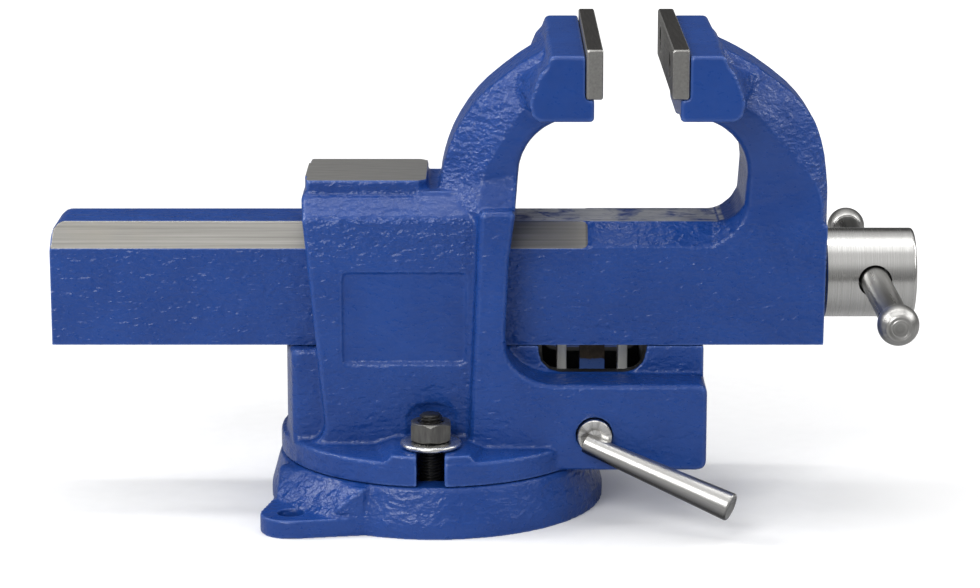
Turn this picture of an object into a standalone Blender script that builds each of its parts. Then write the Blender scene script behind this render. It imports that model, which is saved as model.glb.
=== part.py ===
# Quick-release bench vise on a swivel base.
# Metres, +Z up. +X runs from the fixed jaw to the handle, +Y away from the lever's side.
# The origin is the swivel axis at the bench top.

import math

import bmesh
import bpy
from mathutils import Matrix, Vector

# Driving dimensions
jaw_width = 0.125
jaw_opening = 0.029            # between the two jaw plates at rest
fixed_face_x = 0.071           # gripping face of the fixed jaw plate
bar_underside_z = 0.0735
bar_height = 0.0535
bar_width = 0.048
jaw_rise = 0.0800              # from the bar's top to the top of the jaw castings
base_radius = 0.074
base_height = 0.0216
flange_inset = 0.0045          # of the body's flange, from the base's foot
flange_thickness = 0.0105
gap = 0.0003                   # left between pieces that touch
overrun = 0.003                # how far a cutting tool runs past the face it opens
snap_step = 0.000001           # points are moved onto this grid, so that level faces stay level

# Swivel base
base_taper = 0.0040            # how much narrower the base is at its top
base_skirt_height = 0.006
base_rim_edge = 0.0010
slot_width = 0.0110
slot_undercut = 0.0190
slot_floor_z = 0.0050
slot_lip = 0.0076
slot_entry_radius = 0.0125
hub_boss_radius = 0.0200
hollow_outer_radius = 0.0360
hollow_depth = 0.0130
hollow_rib = 0.0040
hollow_count = 6
lug_reach = 0.0121             # from the base's foot to the middle of a lug's hole
lug_angle = math.radians(223.7)
lug_radius = 0.0133
lug_thickness = 0.0080
lug_hole_radius = 0.0057
lug_root_half_width = 0.0282
lug_taper_angle = math.radians(57)
web_half_width = 0.0170
pivot_radius = 0.0120
pivot_length = 0.0110

# Clamping bolts, washers and nuts
clamp_x = -0.0018
clamp_inset = 0.0220           # from the base's foot to a clamping bolt
bolt_radius = 0.0050
bolt_end_z = 0.0502
bolt_head_width = 0.0166
washer_radius = 0.0133
washer_thickness = 0.0025
washer_hole_radius = 0.0054
nut_width = 0.0170
nut_height = 0.0084
nut_hole_radius = 0.0053
notch_half_width = 0.0060
pad_half_width = 0.0163
pad_rise = 0.0031
pad_wall_ramp = 0.0090
pad_inner_y = 0.0340
rim_inset = 0.0004
flange_edge = 0.0010
relief_radius = 0.0180
relief_height = 0.0200
relief_dome_share = 0.5

# Body casting
side_half_width = 0.0380
column_half_width = 0.0450
shoulder_half_width = 0.0275
anvil_half_width = 0.0262
anvil_left_x = -0.0570
anvil_right_x = -0.0037
anvil_bow = 0.0012
anvil_corner = 0.0040
anvil_rise = 0.0060
shoulder_rise = 0.0087
side_top_z = 0.1325
ledge_rise = 0.0015
side_left_x = -0.0573
side_draft = 0.0090
side_foot_radius = 0.0085
pedestal_left_x = -0.0665
pedestal_half_width = 0.0310
pedestal_bow = 0.0040
pedestal_right_x = -0.0350
column_left_x = 0.0178
column_front_x = 0.0347
column_waist_x = 0.0304
column_rise = 0.0100           # of the front column over the bar
column_draft = 0.0050          # how much further left the column's back edges are at the bottom
flare_inner_x = 0.0030         # where the column's slanted back starts on the shoulder
column_step_x = 0.0186         # where it stands out from the side wall
column_step_draft = 0.0010
extension_reach = 0.0488       # past the cross shaft
extension_top_z = 0.0607
extension_clearance = 0.0008   # over the base
extension_corner = 0.0035
extension_curve = 0.0230
extension_curve_share = 0.75   # the curve's height over its length
bridge_half_width = 0.0234
panel_left_x = -0.0405
panel_right_x = 0.0138
panel_bottom_z = 0.0682
panel_top_z = 0.1092
panel_depth = 0.0012
panel_corner = 0.0040

# Jaw arms and heads
arm_rim_half_width = 0.0180
fixed_arm_half_width = 0.0290
moving_arm_half_width = 0.0240
fixed_arm_flare = 0.0025       # how much further out an arm's ridge lies near the head
moving_arm_flare = 0.0080
arm_flare_low = 0.0175         # heights above the bar between which an arm widens
arm_flare_high = 0.0510
root_flare = 0.0100            # how much the fixed arm spreads down to the column
root_flare_height = 0.0250
throat_radius = 0.0250
throat_height = 0.0230         # throat centre above the bar
throat_foot_radius = 0.0140
head_depth = 0.0138
head_lip = 0.0038
head_lip_height = 0.0094
head_side_inset = 0.0006
head_reach = 0.0480            # from the gripping face to the back of the thick part by the arm
throat_edge = 0.0020           # bevel of a throat's two edges
neck_half_width = 0.0200       # where a head has its full thickness
plate_thickness = 0.0071
plate_height = 0.0211
plate_stand = 0.0027           # jaw plate's top above the casting
plate_edge = 0.0005

# Moving jaw and bar
bar_left_x = -0.1680
bar_bevel = 0.0103
bar_cast_bevel = 0.0095
bar_machined_right_x = 0.0665
bar_cast_right_x = 0.1500
bar_end_radius = 0.0060
jaw_front_x = 0.1705
jaw_front_draft = 0.0008
channel_half_width = 0.0155
front_wall = 0.0330
cast_edge = 0.0015             # rounding of the castings' edges
root_edge = 0.0030

# Spindle and handle
spindle_z = 0.1010
head_radius = 0.0197
head_length = 0.0402
head_chamfer = 0.0016
shank_radius = 0.0125
thread_radius = 0.0110
thread_left_x = -0.1500
thread_end_chamfer = 0.0015
handle_reach = 0.0217          # from the jaw's front to the handle
handle_radius = 0.00625
handle_hole_radius = 0.0069
handle_half_length = 0.1000    # to the middle of each end ball
handle_spigot_radius = 0.0042
handle_spigot_length = 0.0060
ball_radius = 0.0087
ball_face_share = 0.86         # where the ball's end is turned flat
collar_length = 0.0070
collar_pin_radius = 0.0020
shank_end_step = 0.0010

# Quick-release mechanism
cam_inset = 0.0050             # of the cross shaft, from the base's foot
cam_z = 0.0384
shaft_radius = 0.0075
shaft_bore_radius = 0.0079
cam_throw = 0.0030
cam_pin_radius = 0.0045
cam_rest_angle = math.radians(143)
cam_slack = 0.00035
stem_half_x = 0.0055
stem_half_y = 0.0060
stem_foot = 0.0040
stem_slot_clearance = 0.0005
cam_half_length = 0.0068
saddle_half_x = 0.0180
saddle_half_y = 0.0140
saddle_bottom_z = 0.0845
saddle_top_z = 0.0985
saddle_clearance = 0.0004
chamber_back = 0.0220          # from the cross shaft towards the fixed jaw
chamber_front = 0.0215
chamber_half_y = 0.0160
chamber_floor_z = 0.0500
window_back = 0.0241
window_front = 0.0232
window_bottom_z = 0.0612
window_corner = 0.0095
yoke_half_length = 0.0175
yoke_half_width = 0.0140
yoke_base = 0.0030
yoke_post_width = 0.0062
yoke_post_half_y = 0.0070
yoke_post_top_z = 0.0760
yoke_fillet = 0.0050
yoke_stem_clearance = 0.0006
yoke_spigot_radius = 0.0014
yoke_spigot_height = 0.0030
yoke_screw_y = 0.0103
yoke_screw_radius = 0.0015
yoke_screw_head_radius = 0.0029
yoke_screw_head = 0.0018
yoke_screw_length = 0.0060
spring_coil_radius = 0.0026
spring_wire_radius = 0.00045
spring_turns = 4
spring_points_per_turn = 9
shaft_front_stand = 0.0035
shaft_back_stand = 0.0040
shaft_dish_radius = 0.0060
shaft_dish_depth = 0.0010
clip_thickness = 0.0012
clip_groove_depth = 0.0012
clip_outer_radius = 0.0105
clip_opening = math.radians(70)
lever_reach = 0.0575           # from the shaft to the lever's tip, along X
lever_tip_y = -0.0750
lever_tip_z = 0.0148
lever_root_left = 0.0013       # where the lever enters the shaft's end, from the shaft's axis
lever_root_drop = 0.0037
lever_root_radius = 0.0036
lever_tip_radius = 0.0058
lever_socket_depth = 0.0025
lever_tip_chamfer = 0.0008

# Jaw plate screws
plate_screw_y = 0.0380
plate_screw_z_share = 0.52
plate_screw_radius = 0.0030
plate_screw_head_radius = 0.0050
plate_screw_head = 0.0040
plate_screw_length = 0.0120
plate_screw_recess = 0.0006
socket_width = 0.0050
socket_depth = 0.0022

# How round things are divided
large_steps = 64
medium_steps = 32
small_steps = 20
tiny_steps = 12
arc_steps = 8
ball_steps = 6
curve_steps = 2

# Places that follow from the sizes above
base_shoulder_radius = base_radius - base_taper
flange_radius = base_radius - flange_inset
lug_circle = base_radius + lug_reach
clamp_y = base_radius - clamp_inset
cam_x = base_radius - cam_inset
chamber_left_x, chamber_right_x = cam_x - chamber_back, cam_x + chamber_front
window_left_x, window_right_x = cam_x - window_back, cam_x + window_front
extension_right_x = cam_x + extension_reach
lever_tip_x = cam_x + lever_reach
bar_top_z = bar_underside_z + bar_height
bar_half_width = bar_width / 2
jaw_top_z = bar_top_z + jaw_rise
moving_face_x = fixed_face_x + jaw_opening
flange_bottom_z = base_height + gap
extension_bottom_z = base_height + extension_clearance
column_top_z = bar_top_z + column_rise
handle_x = jaw_front_x + handle_reach
flange_top_z = flange_bottom_z + flange_thickness
pad_top_z = flange_top_z + pad_rise
tunnel_floor_z = bar_underside_z - gap
tunnel_top_z = bar_top_z + gap
anvil_top_z = side_top_z + shoulder_rise + anvil_rise
slot_circle = math.hypot(clamp_x, clamp_y)
front_wall_x = jaw_front_x - front_wall
plate_bottom_z = jaw_top_z + plate_stand - plate_height
plate_middle_z = plate_bottom_z + plate_height * plate_screw_z_share
seat_depth = plate_thickness + gap
shaft_front_y = -column_half_width - shaft_front_stand
shaft_back_y = column_half_width + shaft_back_stand
cam_pin_x = cam_x + cam_throw * math.cos(cam_rest_angle)
cam_pin_z = cam_z + cam_throw * math.sin(cam_rest_angle)
nut_drop = 2 * cam_throw * math.sin(cam_rest_angle)
stem_bottom_z = cam_pin_z - cam_pin_radius - cam_slack - stem_foot
stem_slot_floor_z = stem_bottom_z - nut_drop - gap

# Outlines as shares of the sizes that they follow.
# Jaw arms: how far behind the gripping face, over the arm's reach, and how high, over the jaw's rise.
arm_reach = 0.0690
front_share = (jaw_front_x - moving_face_x) / arm_reach
fixed_outer_shares = (
    (1.00, 0.10), (1.00, 0.21), (0.978, 0.325), (0.921, 0.47), (0.823, 0.617),
    (0.699, 0.739), (0.503, 0.873), (0.364, 0.945), (0.30, 0.975),
)
fixed_ridge_shares = (
    (0.75, 0.10), (0.75, 0.20), (0.72, 0.31), (0.652, 0.42), (0.575, 0.53),
    (0.505, 0.635), (0.420, 0.70), (0.340, 0.76), (0.28, 0.80),
)
moving_outer_shares = (
    (front_share, 0.12), (front_share, 0.20), (0.998, 0.38), (0.955, 0.515), (0.905, 0.60),
    (0.790, 0.715), (0.577, 0.855), (0.400, 0.940), (0.30, 0.975),
)
moving_ridge_shares = (
    (0.99, 0.12), (0.94, 0.2325), (0.865, 0.305), (0.800, 0.368), (0.730, 0.435),
    (0.632, 0.545), (0.577, 0.605), (0.420, 0.70), (0.28, 0.80),
)
# Jaw heads: how far behind the gripping face, over the head's reach, and how high, over the jaw's rise.
tip_back_shares = (
    (0.565, 0.648), (0.620, 0.680), (0.642, 0.750), (0.600, 0.835),
    (0.554, 0.902), (0.494, 0.942), (0.460, 1.0),
)
fixed_neck_shares = (
    (0.710, 0.600), (0.840, 0.660), (0.860, 0.770), (0.800, 0.820),
    (0.604, 0.848), (0.510, 0.888), (0.475, 1.0),
)
moving_neck_shares = (
    (0.710, 0.600), (0.860, 0.660), (0.920, 0.770), (0.880, 0.825),
    (0.604, 0.848), (0.510, 0.888), (0.475, 1.0),
)
neck_start_share = 0.17        # of the way from a head's end to its arm, where the head begins to thicken
# Column's front edge: forward of its waist over the curve's size, and height over the column's own.
column_front_shares = ((0.06, 0.72), (0.00, 0.33))


# Mesh building


def skin(bm, first, second):
    """Faces between two rings of vertices, either of which may be a single point."""
    if len(first) == 1 and len(second) == 1:
        return
    count = max(len(first), len(second))
    for i in range(count):
        j = (i + 1) % count
        if len(first) == 1:
            bm.faces.new((first[0], second[i], second[j]))
        elif len(second) == 1:
            bm.faces.new((first[i], first[j], second[0]))
        else:
            bm.faces.new((first[i], first[j], second[j], second[i]))


def turned(profile, steps, ring=False):
    """A profile of (radius, height) turned about Z. A ring's profile closes on itself."""
    bm = bmesh.new()
    rings = []
    for radius, height in profile:
        if radius == 0:
            rings.append([bm.verts.new((0, 0, height))])
            continue
        angles = [2 * math.pi * i / steps for i in range(steps)]
        rings.append([bm.verts.new((radius * math.cos(a), radius * math.sin(a), height)) for a in angles])
    for first, second in zip(rings, rings[1:]):
        skin(bm, first, second)
    if ring:
        skin(bm, rings[-1], rings[0])
    return bm


def loft(sections):
    """A closed solid through rings of points that all hold as many points."""
    bm = bmesh.new()
    rings = [[bm.verts.new(point) for point in section] for section in sections]
    for first, second in zip(rings, rings[1:]):
        skin(bm, first, second)
    bm.faces.new(rings[0])
    bm.faces.new(rings[-1])
    return bm


def prism_y(outline, near_y, far_y):
    """An outline of (x, z) points drawn out along Y."""
    return loft([[(x, y, z) for x, z in outline] for y in (near_y, far_y)])


def slab(outline, low_z, high_z):
    """An outline of (x, y) points drawn out along Z."""
    return loft([[(x, y, z) for x, y in outline] for z in (low_z, high_z)])


def prism_x(outline, left_x, right_x):
    """An outline of (y, z) points drawn out along X."""
    return loft([[(x, y, z) for y, z in outline] for x in (left_x, right_x)])


def box(low, high):
    outline = ((low[0], low[1]), (high[0], low[1]), (high[0], high[1]), (low[0], high[1]))
    return slab(outline, low[2], high[2])


def centred_box(left_x, right_x, half_y, low_z, high_z):
    return box((left_x, -half_y, low_z), (right_x, half_y, high_z))


def hull(points):
    bm = bmesh.new()
    for point in points:
        bm.verts.new(point)
    bmesh.ops.convex_hull(bm, input=bm.verts)
    bmesh.ops.delete(bm, geom=[v for v in bm.verts if not v.link_faces], context="VERTS")
    return bm


def rod(start, end, steps, start_radius, end_radius=None):
    """A round bar from one point to another, straight or tapered."""
    start, end = Vector(start), Vector(end)
    length = (end - start).length
    bm = turned(((0, 0), (start_radius, 0), (end_radius or start_radius, length), (0, length)), steps)
    turn = (end - start).to_track_quat("Z", "Y").to_matrix().to_4x4()
    bm.transform(Matrix.Translation(start) @ turn)
    return bm


def through(axis, place, reach, steps, radius):
    """A round bar that reaches as far both ways along one axis."""
    step = Vector([reach if name == axis else 0 for name in "XYZ"])
    return rod(Vector(place) - step, Vector(place) + step, steps, radius)


def along_x(bm, place=(0, 0, 0)):
    """Turns a shape made about Z to lie along +X."""
    bm.transform(Matrix.Translation(place) @ Matrix.Rotation(math.pi / 2, 4, "Y"))
    return bm


def arc(centre, radius, start, end, steps):
    """Points on an arc; the angles are in degrees."""
    points = []
    for i in range(steps + 1):
        angle = math.radians(start + (end - start) * i / steps)
        points.append((centre[0] + radius * math.cos(angle), centre[1] + radius * math.sin(angle)))
    return points


def smooth_line(points, steps):
    """A curve through points, with as many steps between each two."""
    line = [2 * Vector(points[0]) - Vector(points[1])] + [Vector(point) for point in points]
    line.append(2 * line[-1] - line[-2])
    curve = []
    for before, start, end, after in zip(line, line[1:], line[2:], line[3:]):
        for i in range(steps):
            t = i / steps
            curve.append(tuple(
                start + (end - before) * t / 2 + (2 * before - 5 * start + 4 * end - after) * t**2 / 2
                + (3 * start - before - 3 * end + after) * t**3 / 2
            ))
    return curve + [tuple(points[-1])]


def rounded_box_outline(left, right, low, high, radius, steps=3):
    return (
        arc((right - radius, high - radius), radius, 0, 90, steps)
        + arc((left + radius, high - radius), radius, 90, 180, steps)
        + arc((left + radius, low + radius), radius, 180, 270, steps)
        + arc((right - radius, low + radius), radius, 270, 360, steps)
    )


# Objects, materials and joining


def material(name, colour, roughness, metallic):
    made = bpy.data.materials.new(name)
    made.use_nodes = True
    shader = made.node_tree.nodes["Principled BSDF"]
    shader.inputs["Base Color"].default_value = (*colour, 1)
    shader.inputs["Roughness"].default_value = roughness
    shader.inputs["Metallic"].default_value = metallic
    return made


def solid(bm, name="tool"):
    """A new object from a bmesh, its faces pointing out."""
    bmesh.ops.recalc_face_normals(bm, faces=bm.faces)
    mesh = bpy.data.meshes.new(name)
    bm.to_mesh(mesh)
    bm.free()
    made = bpy.data.objects.new(name, mesh)
    bpy.context.scene.collection.objects.link(made)
    return made


def bake(thing):
    """Replaces an object's mesh by what its modifiers make of it."""
    graph = bpy.context.evaluated_depsgraph_get()
    mesh = bpy.data.meshes.new_from_object(thing.evaluated_get(graph))
    thing.modifiers.clear()
    thing.data = mesh
    bm = bmesh.new()
    bm.from_mesh(mesh)
    bmesh.ops.triangulate(bm, faces=bm.faces)
    for vertex in bm.verts:
        vertex.co = [round(value / snap_step) * snap_step for value in vertex.co]
    bmesh.ops.remove_doubles(bm, verts=bm.verts, dist=snap_step)
    bmesh.ops.dissolve_degenerate(bm, edges=bm.edges, dist=snap_step)
    bm.to_mesh(mesh)
    bm.free()


def combine(thing, operation, tools):
    for tool in tools:
        step = thing.modifiers.new(operation.title(), "BOOLEAN")
        step.operation = operation
        step.object = tool
        bake(thing)
        bpy.data.objects.remove(tool)
    return thing


def as_object(shape):
    return solid(shape) if isinstance(shape, bmesh.types.BMesh) else shape


def join(thing, *shapes):
    return combine(thing, "UNION", [as_object(shape) for shape in shapes])


def cut(thing, *shapes):
    return combine(thing, "DIFFERENCE", [as_object(shape) for shape in shapes])


def common(first, second):
    """What two shapes share: a block whose outline is set from two sides."""
    return combine(solid(first), "INTERSECT", [solid(second)])


def eased(shape, width, angle=40, segments=1):
    """A solid whose sharp edges are rounded, as a casting's are."""
    thing = as_object(shape)
    bm = bmesh.new()
    bm.from_mesh(thing.data)
    bmesh.ops.dissolve_limit(bm, angle_limit=math.radians(1), verts=bm.verts, edges=bm.edges)
    bm.to_mesh(thing.data)
    bm.free()
    step = thing.modifiers.new("Bevel", "BEVEL")
    step.width = width
    step.segments = segments
    step.limit_method = "ANGLE"
    step.angle_limit = math.radians(angle)
    bake(thing)
    return thing


def axis_at(name, place, parent=None):
    """An empty on a joint's axis, which carries what turns or slides there."""
    made = bpy.data.objects.new(name, None)
    bpy.context.scene.collection.objects.link(made)
    made.location = Vector(place)
    if parent:
        made.parent = parent
        made.location -= world_place(parent)
    return made


def world_place(thing):
    place = Vector(thing.location)
    while thing.parent:
        thing = thing.parent
        place += thing.location
    return place


def finish(thing, name, surface, carrier, angle=35):
    """Names a piece, gives it its material and hangs it on its carrier's axis."""
    thing.name = name
    thing.data.name = name
    place = world_place(carrier)
    thing.data.transform(Matrix.Translation(-place))
    thing.parent = carrier
    thing.data.materials.clear()
    thing.data.materials.append(surface)
    thing.data.shade_smooth()
    thing.data.set_sharp_from_angle(angle=math.radians(angle))
    return thing


def second_material(thing, surface, inside):
    """Gives the faces whose middle passes a test another material."""
    place = world_place(thing)
    thing.data.materials.append(surface)
    for face in thing.data.polygons:
        if inside(face.center + place, face.normal):
            face.material_index = 1


# Swivel base


def lug_point(out, across):
    """A place measured out along a lug's middle line and across it."""
    return Vector((
        out * math.cos(lug_angle) - across * math.sin(lug_angle),
        out * math.sin(lug_angle) + across * math.cos(lug_angle),
    ))


def lug_shapes(turn):
    """One bolt lug and the sloping web that runs from it up to the base's rim."""
    taper = math.degrees(lug_taper_angle)
    end = arc((lug_circle, 0), lug_radius, -taper, taper, arc_steps)
    root = math.sqrt(base_radius**2 - lug_root_half_width**2)
    inner = root - lug_radius
    plan = end + [(root, lug_root_half_width), (inner, lug_root_half_width)]
    plan += [(inner, -lug_root_half_width), (root, -lug_root_half_width)]
    foot = slab([lug_point(*point) for point in plan], 0, lug_thickness)
    rim = base_shoulder_radius - base_rim_edge
    rim_half = lug_root_half_width - base_rim_edge
    web_foot = lug_circle - lug_hole_radius
    top = base_height - base_rim_edge
    corners = [(inner, rim_half, top), (rim, rim_half, top)]
    corners += [(web_foot, web_half_width, lug_thickness), (web_foot, web_half_width, lug_thickness / 2)]
    corners += [(inner, rim_half, lug_thickness / 2), (rim, rim_half, lug_thickness / 2)]
    points = [(*lug_point(out, side * across), z) for out, across, z in corners for side in (-1, 1)]
    web = hull(points)
    for shape in (foot, web):
        shape.transform(Matrix.Rotation(turn, 4, "Z"))
    return foot, web


def lug_hole(turn):
    place = lug_point(lug_circle, 0)
    hole = rod((*place, -overrun), (*place, base_height), small_steps, lug_hole_radius)
    hole.transform(Matrix.Rotation(turn, 4, "Z"))
    return hole


def underside_pocket(index):
    """One of the hollows between the ribs on the base's underside."""
    share = 360 / hollow_count
    half_rib = hollow_rib / 2
    inner_trim = math.degrees(math.asin(half_rib / hub_boss_radius))
    outer_trim = math.degrees(math.asin(half_rib / hollow_outer_radius))
    start = index * share
    outline = arc((0, 0), hollow_outer_radius, start + outer_trim, start + share - outer_trim, arc_steps)
    outline += arc((0, 0), hub_boss_radius, start + share - inner_trim, start + inner_trim, arc_steps // 2)
    return slab(outline, -overrun, hollow_depth)


def build_base(surface, carrier):
    profile = (
        (0, 0), (base_radius, 0), (base_radius, base_skirt_height),
        (base_shoulder_radius, base_height - base_rim_edge),
        (base_shoulder_radius - base_rim_edge, base_height), (0, base_height),
    )
    base = solid(turned(profile, large_steps))
    for turn in (0, math.pi):
        foot, web = lug_shapes(turn)
        join(base, foot, web)
    lip_z = base_height - slot_lip
    half_slot, half_undercut = slot_width / 2, slot_undercut / 2
    slot = (
        (slot_circle - half_undercut, slot_floor_z), (slot_circle + half_undercut, slot_floor_z),
        (slot_circle + half_undercut, lip_z), (slot_circle + half_slot, lip_z),
        (slot_circle + half_slot, base_height + overrun), (slot_circle - half_slot, base_height + overrun),
        (slot_circle - half_slot, lip_z), (slot_circle - half_undercut, lip_z),
    )
    cut(base, turned(slot, large_steps, ring=True))
    open_z = base_height + overrun
    entry = rod((slot_circle, 0, slot_floor_z), (slot_circle, 0, open_z), small_steps, slot_entry_radius)
    recess_z = base_height - pivot_length - gap
    recess = rod((0, 0, recess_z), (0, 0, open_z), medium_steps, pivot_radius + gap)
    cut(base, entry, recess, lug_hole(0), lug_hole(math.pi))
    cut(base, *[underside_pocket(i) for i in range(hollow_count)])
    return finish(base, "swivel_base", surface, carrier)


# Jaw arms and heads, made for the fixed jaw and mirrored for the moving one


def face_point(face_x, way, back, height):
    """A place measured back from a jaw's gripping face and up from the bar's top."""
    return face_x - way * back, bar_top_z + height


def throat_outline(face_x, way, foot, bevelled):
    """The throat's arc down to the arm's root, or the outer line of its bevelled edge."""
    centre_back = arm_reach / 2 + 2 * gap - throat_radius
    edge = throat_edge if bevelled else 0
    points = []
    for i in range(arc_steps + 1):
        angle = math.pi / 2 * i / arc_steps
        radius = throat_radius + edge
        back = centre_back + radius * math.sin(angle)
        points.append(face_point(face_x, way, back, throat_height + radius * math.cos(angle)))
    if not foot:
        return points
    foot_back = centre_back + throat_radius - throat_foot_radius
    steps = arc_steps // 2
    for i in range(1, steps + 1):
        angle = math.pi / 2 * i / steps
        growth = (bar_cast_bevel - throat_edge) * (i / steps) ** 2
        radius = throat_foot_radius + edge + (growth if bevelled else 0)
        back = foot_back + radius * math.cos(angle)
        points.append(face_point(face_x, way, back, throat_foot_radius - radius * math.sin(angle)))
    return points


def arm(face_x, way, outer_shares, ridge_shares, root_half_width, flare, foot, spread=0):
    """A curved jaw arm whose sides fall away from a ridge to its thin outer rim."""
    head_point = face_point(face_x, way, seat_depth + head_depth / 2, jaw_rise - plate_height)
    root_z = bar_top_z - bar_cast_bevel - root_edge if foot else column_top_z - root_edge
    throat = throat_outline(face_x, way, foot, False)
    edge = throat_outline(face_x, way, foot, True)
    foot_x = throat[-1][0] if foot else column_front_x - gap
    throat.append((foot_x, root_z))
    edge.append((foot_x, root_z))

    def root_spread(z):
        fall = (bar_top_z + root_flare_height - z) / (root_flare_height - column_rise)
        return spread * min(1, max(0, fall)) ** 2

    def half_width(z):
        rise = (z - bar_top_z - arm_flare_low) / (arm_flare_high - arm_flare_low)
        return root_half_width + flare * min(1, max(0, rise)) + root_spread(z)

    def ring(shares, side, on_ridge):
        curve = smooth_line(shares, curve_steps)
        outer = [face_point(face_x, way, arm_reach * back, jaw_rise * up) for back, up in curve]
        outer = [(outer[0][0], root_z)] + outer + [head_point]
        if on_ridge:
            return [(x, side * half_width(z), z) for x, z in outer + edge]
        points = [(x, side * (arm_rim_half_width + root_spread(z)), z) for x, z in outer]
        for inside, beside in zip(throat, edge):
            depth = math.dist(inside, beside)
            points.append((inside[0], side * (half_width(inside[1]) - depth), inside[1]))
        return points

    ridges = [ring(ridge_shares, side, True) for side in (-1, 1)]
    rims = [ring(outer_shares, side, False) for side in (-1, 1)]
    return loft([ridges[0], *rims, ridges[1]])


def head_section(face_x, way, y, neck_shares, thickening):
    """The head's outline at one place; thickening is 0 at its ends and 1 at the arm."""
    lip = seat_depth - head_lip
    low = jaw_rise * (tip_back_shares[0][1] + (neck_shares[0][1] - tip_back_shares[0][1]) * thickening)
    outline = [(lip, jaw_rise), (lip, low)]
    for (tip_back, tip_up), (neck_back, neck_up) in zip(tip_back_shares, neck_shares):
        back = tip_back + (neck_back - tip_back) * thickening
        up = tip_up + (neck_up - tip_up) * thickening
        outline.append((head_reach * back, jaw_rise * up))
    return [(x, y, z) for x, z in (face_point(face_x, way, back, up) for back, up in outline)]


def head(face_x, way, neck_shares):
    """The full-width jaw head, which thickens towards the arm in a smooth curve."""
    tip = jaw_width / 2 - head_side_inset
    start = tip + (neck_half_width - tip) * neck_start_share
    places = [(tip, 0)]
    for i in range(arc_steps + 1):
        angle = math.pi / 2 * i / arc_steps
        places.append((start + (neck_half_width - start) * math.sin(angle), 1 - math.cos(angle)))
    sections = [head_section(face_x, way, -y, neck_shares, share) for y, share in places]
    sections += [head_section(face_x, way, y, neck_shares, share) for y, share in reversed(places)]
    return loft(sections)


def seat_cut(face_x, way):
    """The flat seat that is milled into the head for its jaw plate."""
    back_x, front_x = face_x - way * seat_depth, face_x + way * overrun
    left, right = sorted((back_x, front_x))
    reach = jaw_width / 2 + overrun
    return box((left, -reach, plate_bottom_z - gap), (right, reach, jaw_top_z + overrun))


def plate_screw_holes(face_x, way, radius, inner):
    """Holes for the two jaw plate screws, from the gripping face into the head."""
    holes = []
    for side in (-1, 1):
        start = (face_x + way * overrun, side * plate_screw_y, plate_middle_z)
        end = (face_x - way * inner, side * plate_screw_y, plate_middle_z)
        holes.append(rod(start, end, small_steps, radius))
    return holes


# Body casting


def main_block():
    """The side walls and shoulders round the bar's tunnel."""
    low_z = flange_bottom_z + flange_thickness / 2
    top_z = side_top_z + shoulder_rise
    across = (
        (-side_half_width, low_z), (-side_half_width, side_top_z), (-shoulder_half_width, top_z),
        (shoulder_half_width, top_z), (side_half_width, side_top_z), (side_half_width, low_z),
    )
    reach = side_half_width + overrun
    run = side_foot_radius + overrun
    section = prism_x(across, side_left_x - run, column_left_x + run)
    return common(prism_y(side_outline(), -reach, reach), section)


def side_outline():
    """The main side walls: drafted at the back, with a foot that curls out onto the flange."""
    foot_x = side_left_x + side_draft
    foot_z = flange_top_z + side_foot_radius
    curl = arc((foot_x - side_foot_radius, foot_z), side_foot_radius, 0, -80, arc_steps // 2)
    top_z = side_top_z + shoulder_rise + overrun
    drift = side_draft * (top_z - side_top_z) / (side_top_z - foot_z)
    right = [(column_left_x, flange_bottom_z), (column_left_x, top_z)]
    return [(side_left_x - drift, top_z)] + curl + [(foot_x - side_foot_radius, flange_bottom_z)] + right


def anvil_outline():
    half = anvil_half_width
    return [
        (anvil_right_x, -half + anvil_corner), (anvil_right_x, half - anvil_corner),
        (anvil_right_x - anvil_corner, half), (anvil_left_x + anvil_bow, half),
        (anvil_left_x, half / 2), (anvil_left_x, -half / 2), (anvil_left_x + anvil_bow, -half),
        (anvil_right_x - anvil_corner, -half),
    ]


def column_plan(z):
    """The front column and the extension from above; the column's back edges are cut at a slant."""
    back = column_draft * (column_top_z - z) / (column_top_z - extension_bottom_z)
    step = column_step_x - back
    side = [
        (flare_inner_x - back, shoulder_half_width, z), (step, side_half_width - gap, z),
        (step + column_step_draft, column_half_width, z),
        (extension_right_x + overrun, column_half_width, z),
    ]
    return side + [(x, -y, z) for x, y, z in reversed(side)]


def front_block():
    reach = column_half_width + overrun
    plan = loft([column_plan(extension_bottom_z - overrun), column_plan(column_top_z + overrun)])
    return common(prism_y(extension_outline(), -reach, reach), plan)


def extension_outline():
    """The front column and the extension under the bar, joined by a sweeping curve."""
    height = column_top_z - extension_top_z
    outline = [(column_front_x, column_top_z)]
    for forward, up in column_front_shares:
        outline.append((column_waist_x + forward * extension_curve, extension_top_z + up * height))
    bend = extension_curve * extension_curve_share
    for i in range(arc_steps + 1):
        angle = math.pi / 2 * i / arc_steps
        outline.append((
            column_waist_x + extension_curve * (1 - math.cos(angle)),
            extension_top_z + bend * (1 - math.sin(angle)),
        ))
    corner = extension_corner
    outline += arc((extension_right_x - corner, extension_top_z - corner), corner, 90, 0, 3)
    outline += arc((extension_right_x - corner, extension_bottom_z + corner), corner, 0, -90, 3)
    left = flare_inner_x - column_draft - overrun
    outline += [(left, extension_bottom_z), (left, column_top_z)]
    return outline


def pedestal_plan():
    """The block under the bar's rear, bowed a little at its back."""
    back = []
    for i in range(arc_steps + 1):
        across = -1 + 2 * i / arc_steps
        back.append((pedestal_left_x + pedestal_bow * across**2, -across * pedestal_half_width))
    return back + [(pedestal_right_x, -pedestal_half_width), (pedestal_right_x, pedestal_half_width)]


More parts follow.
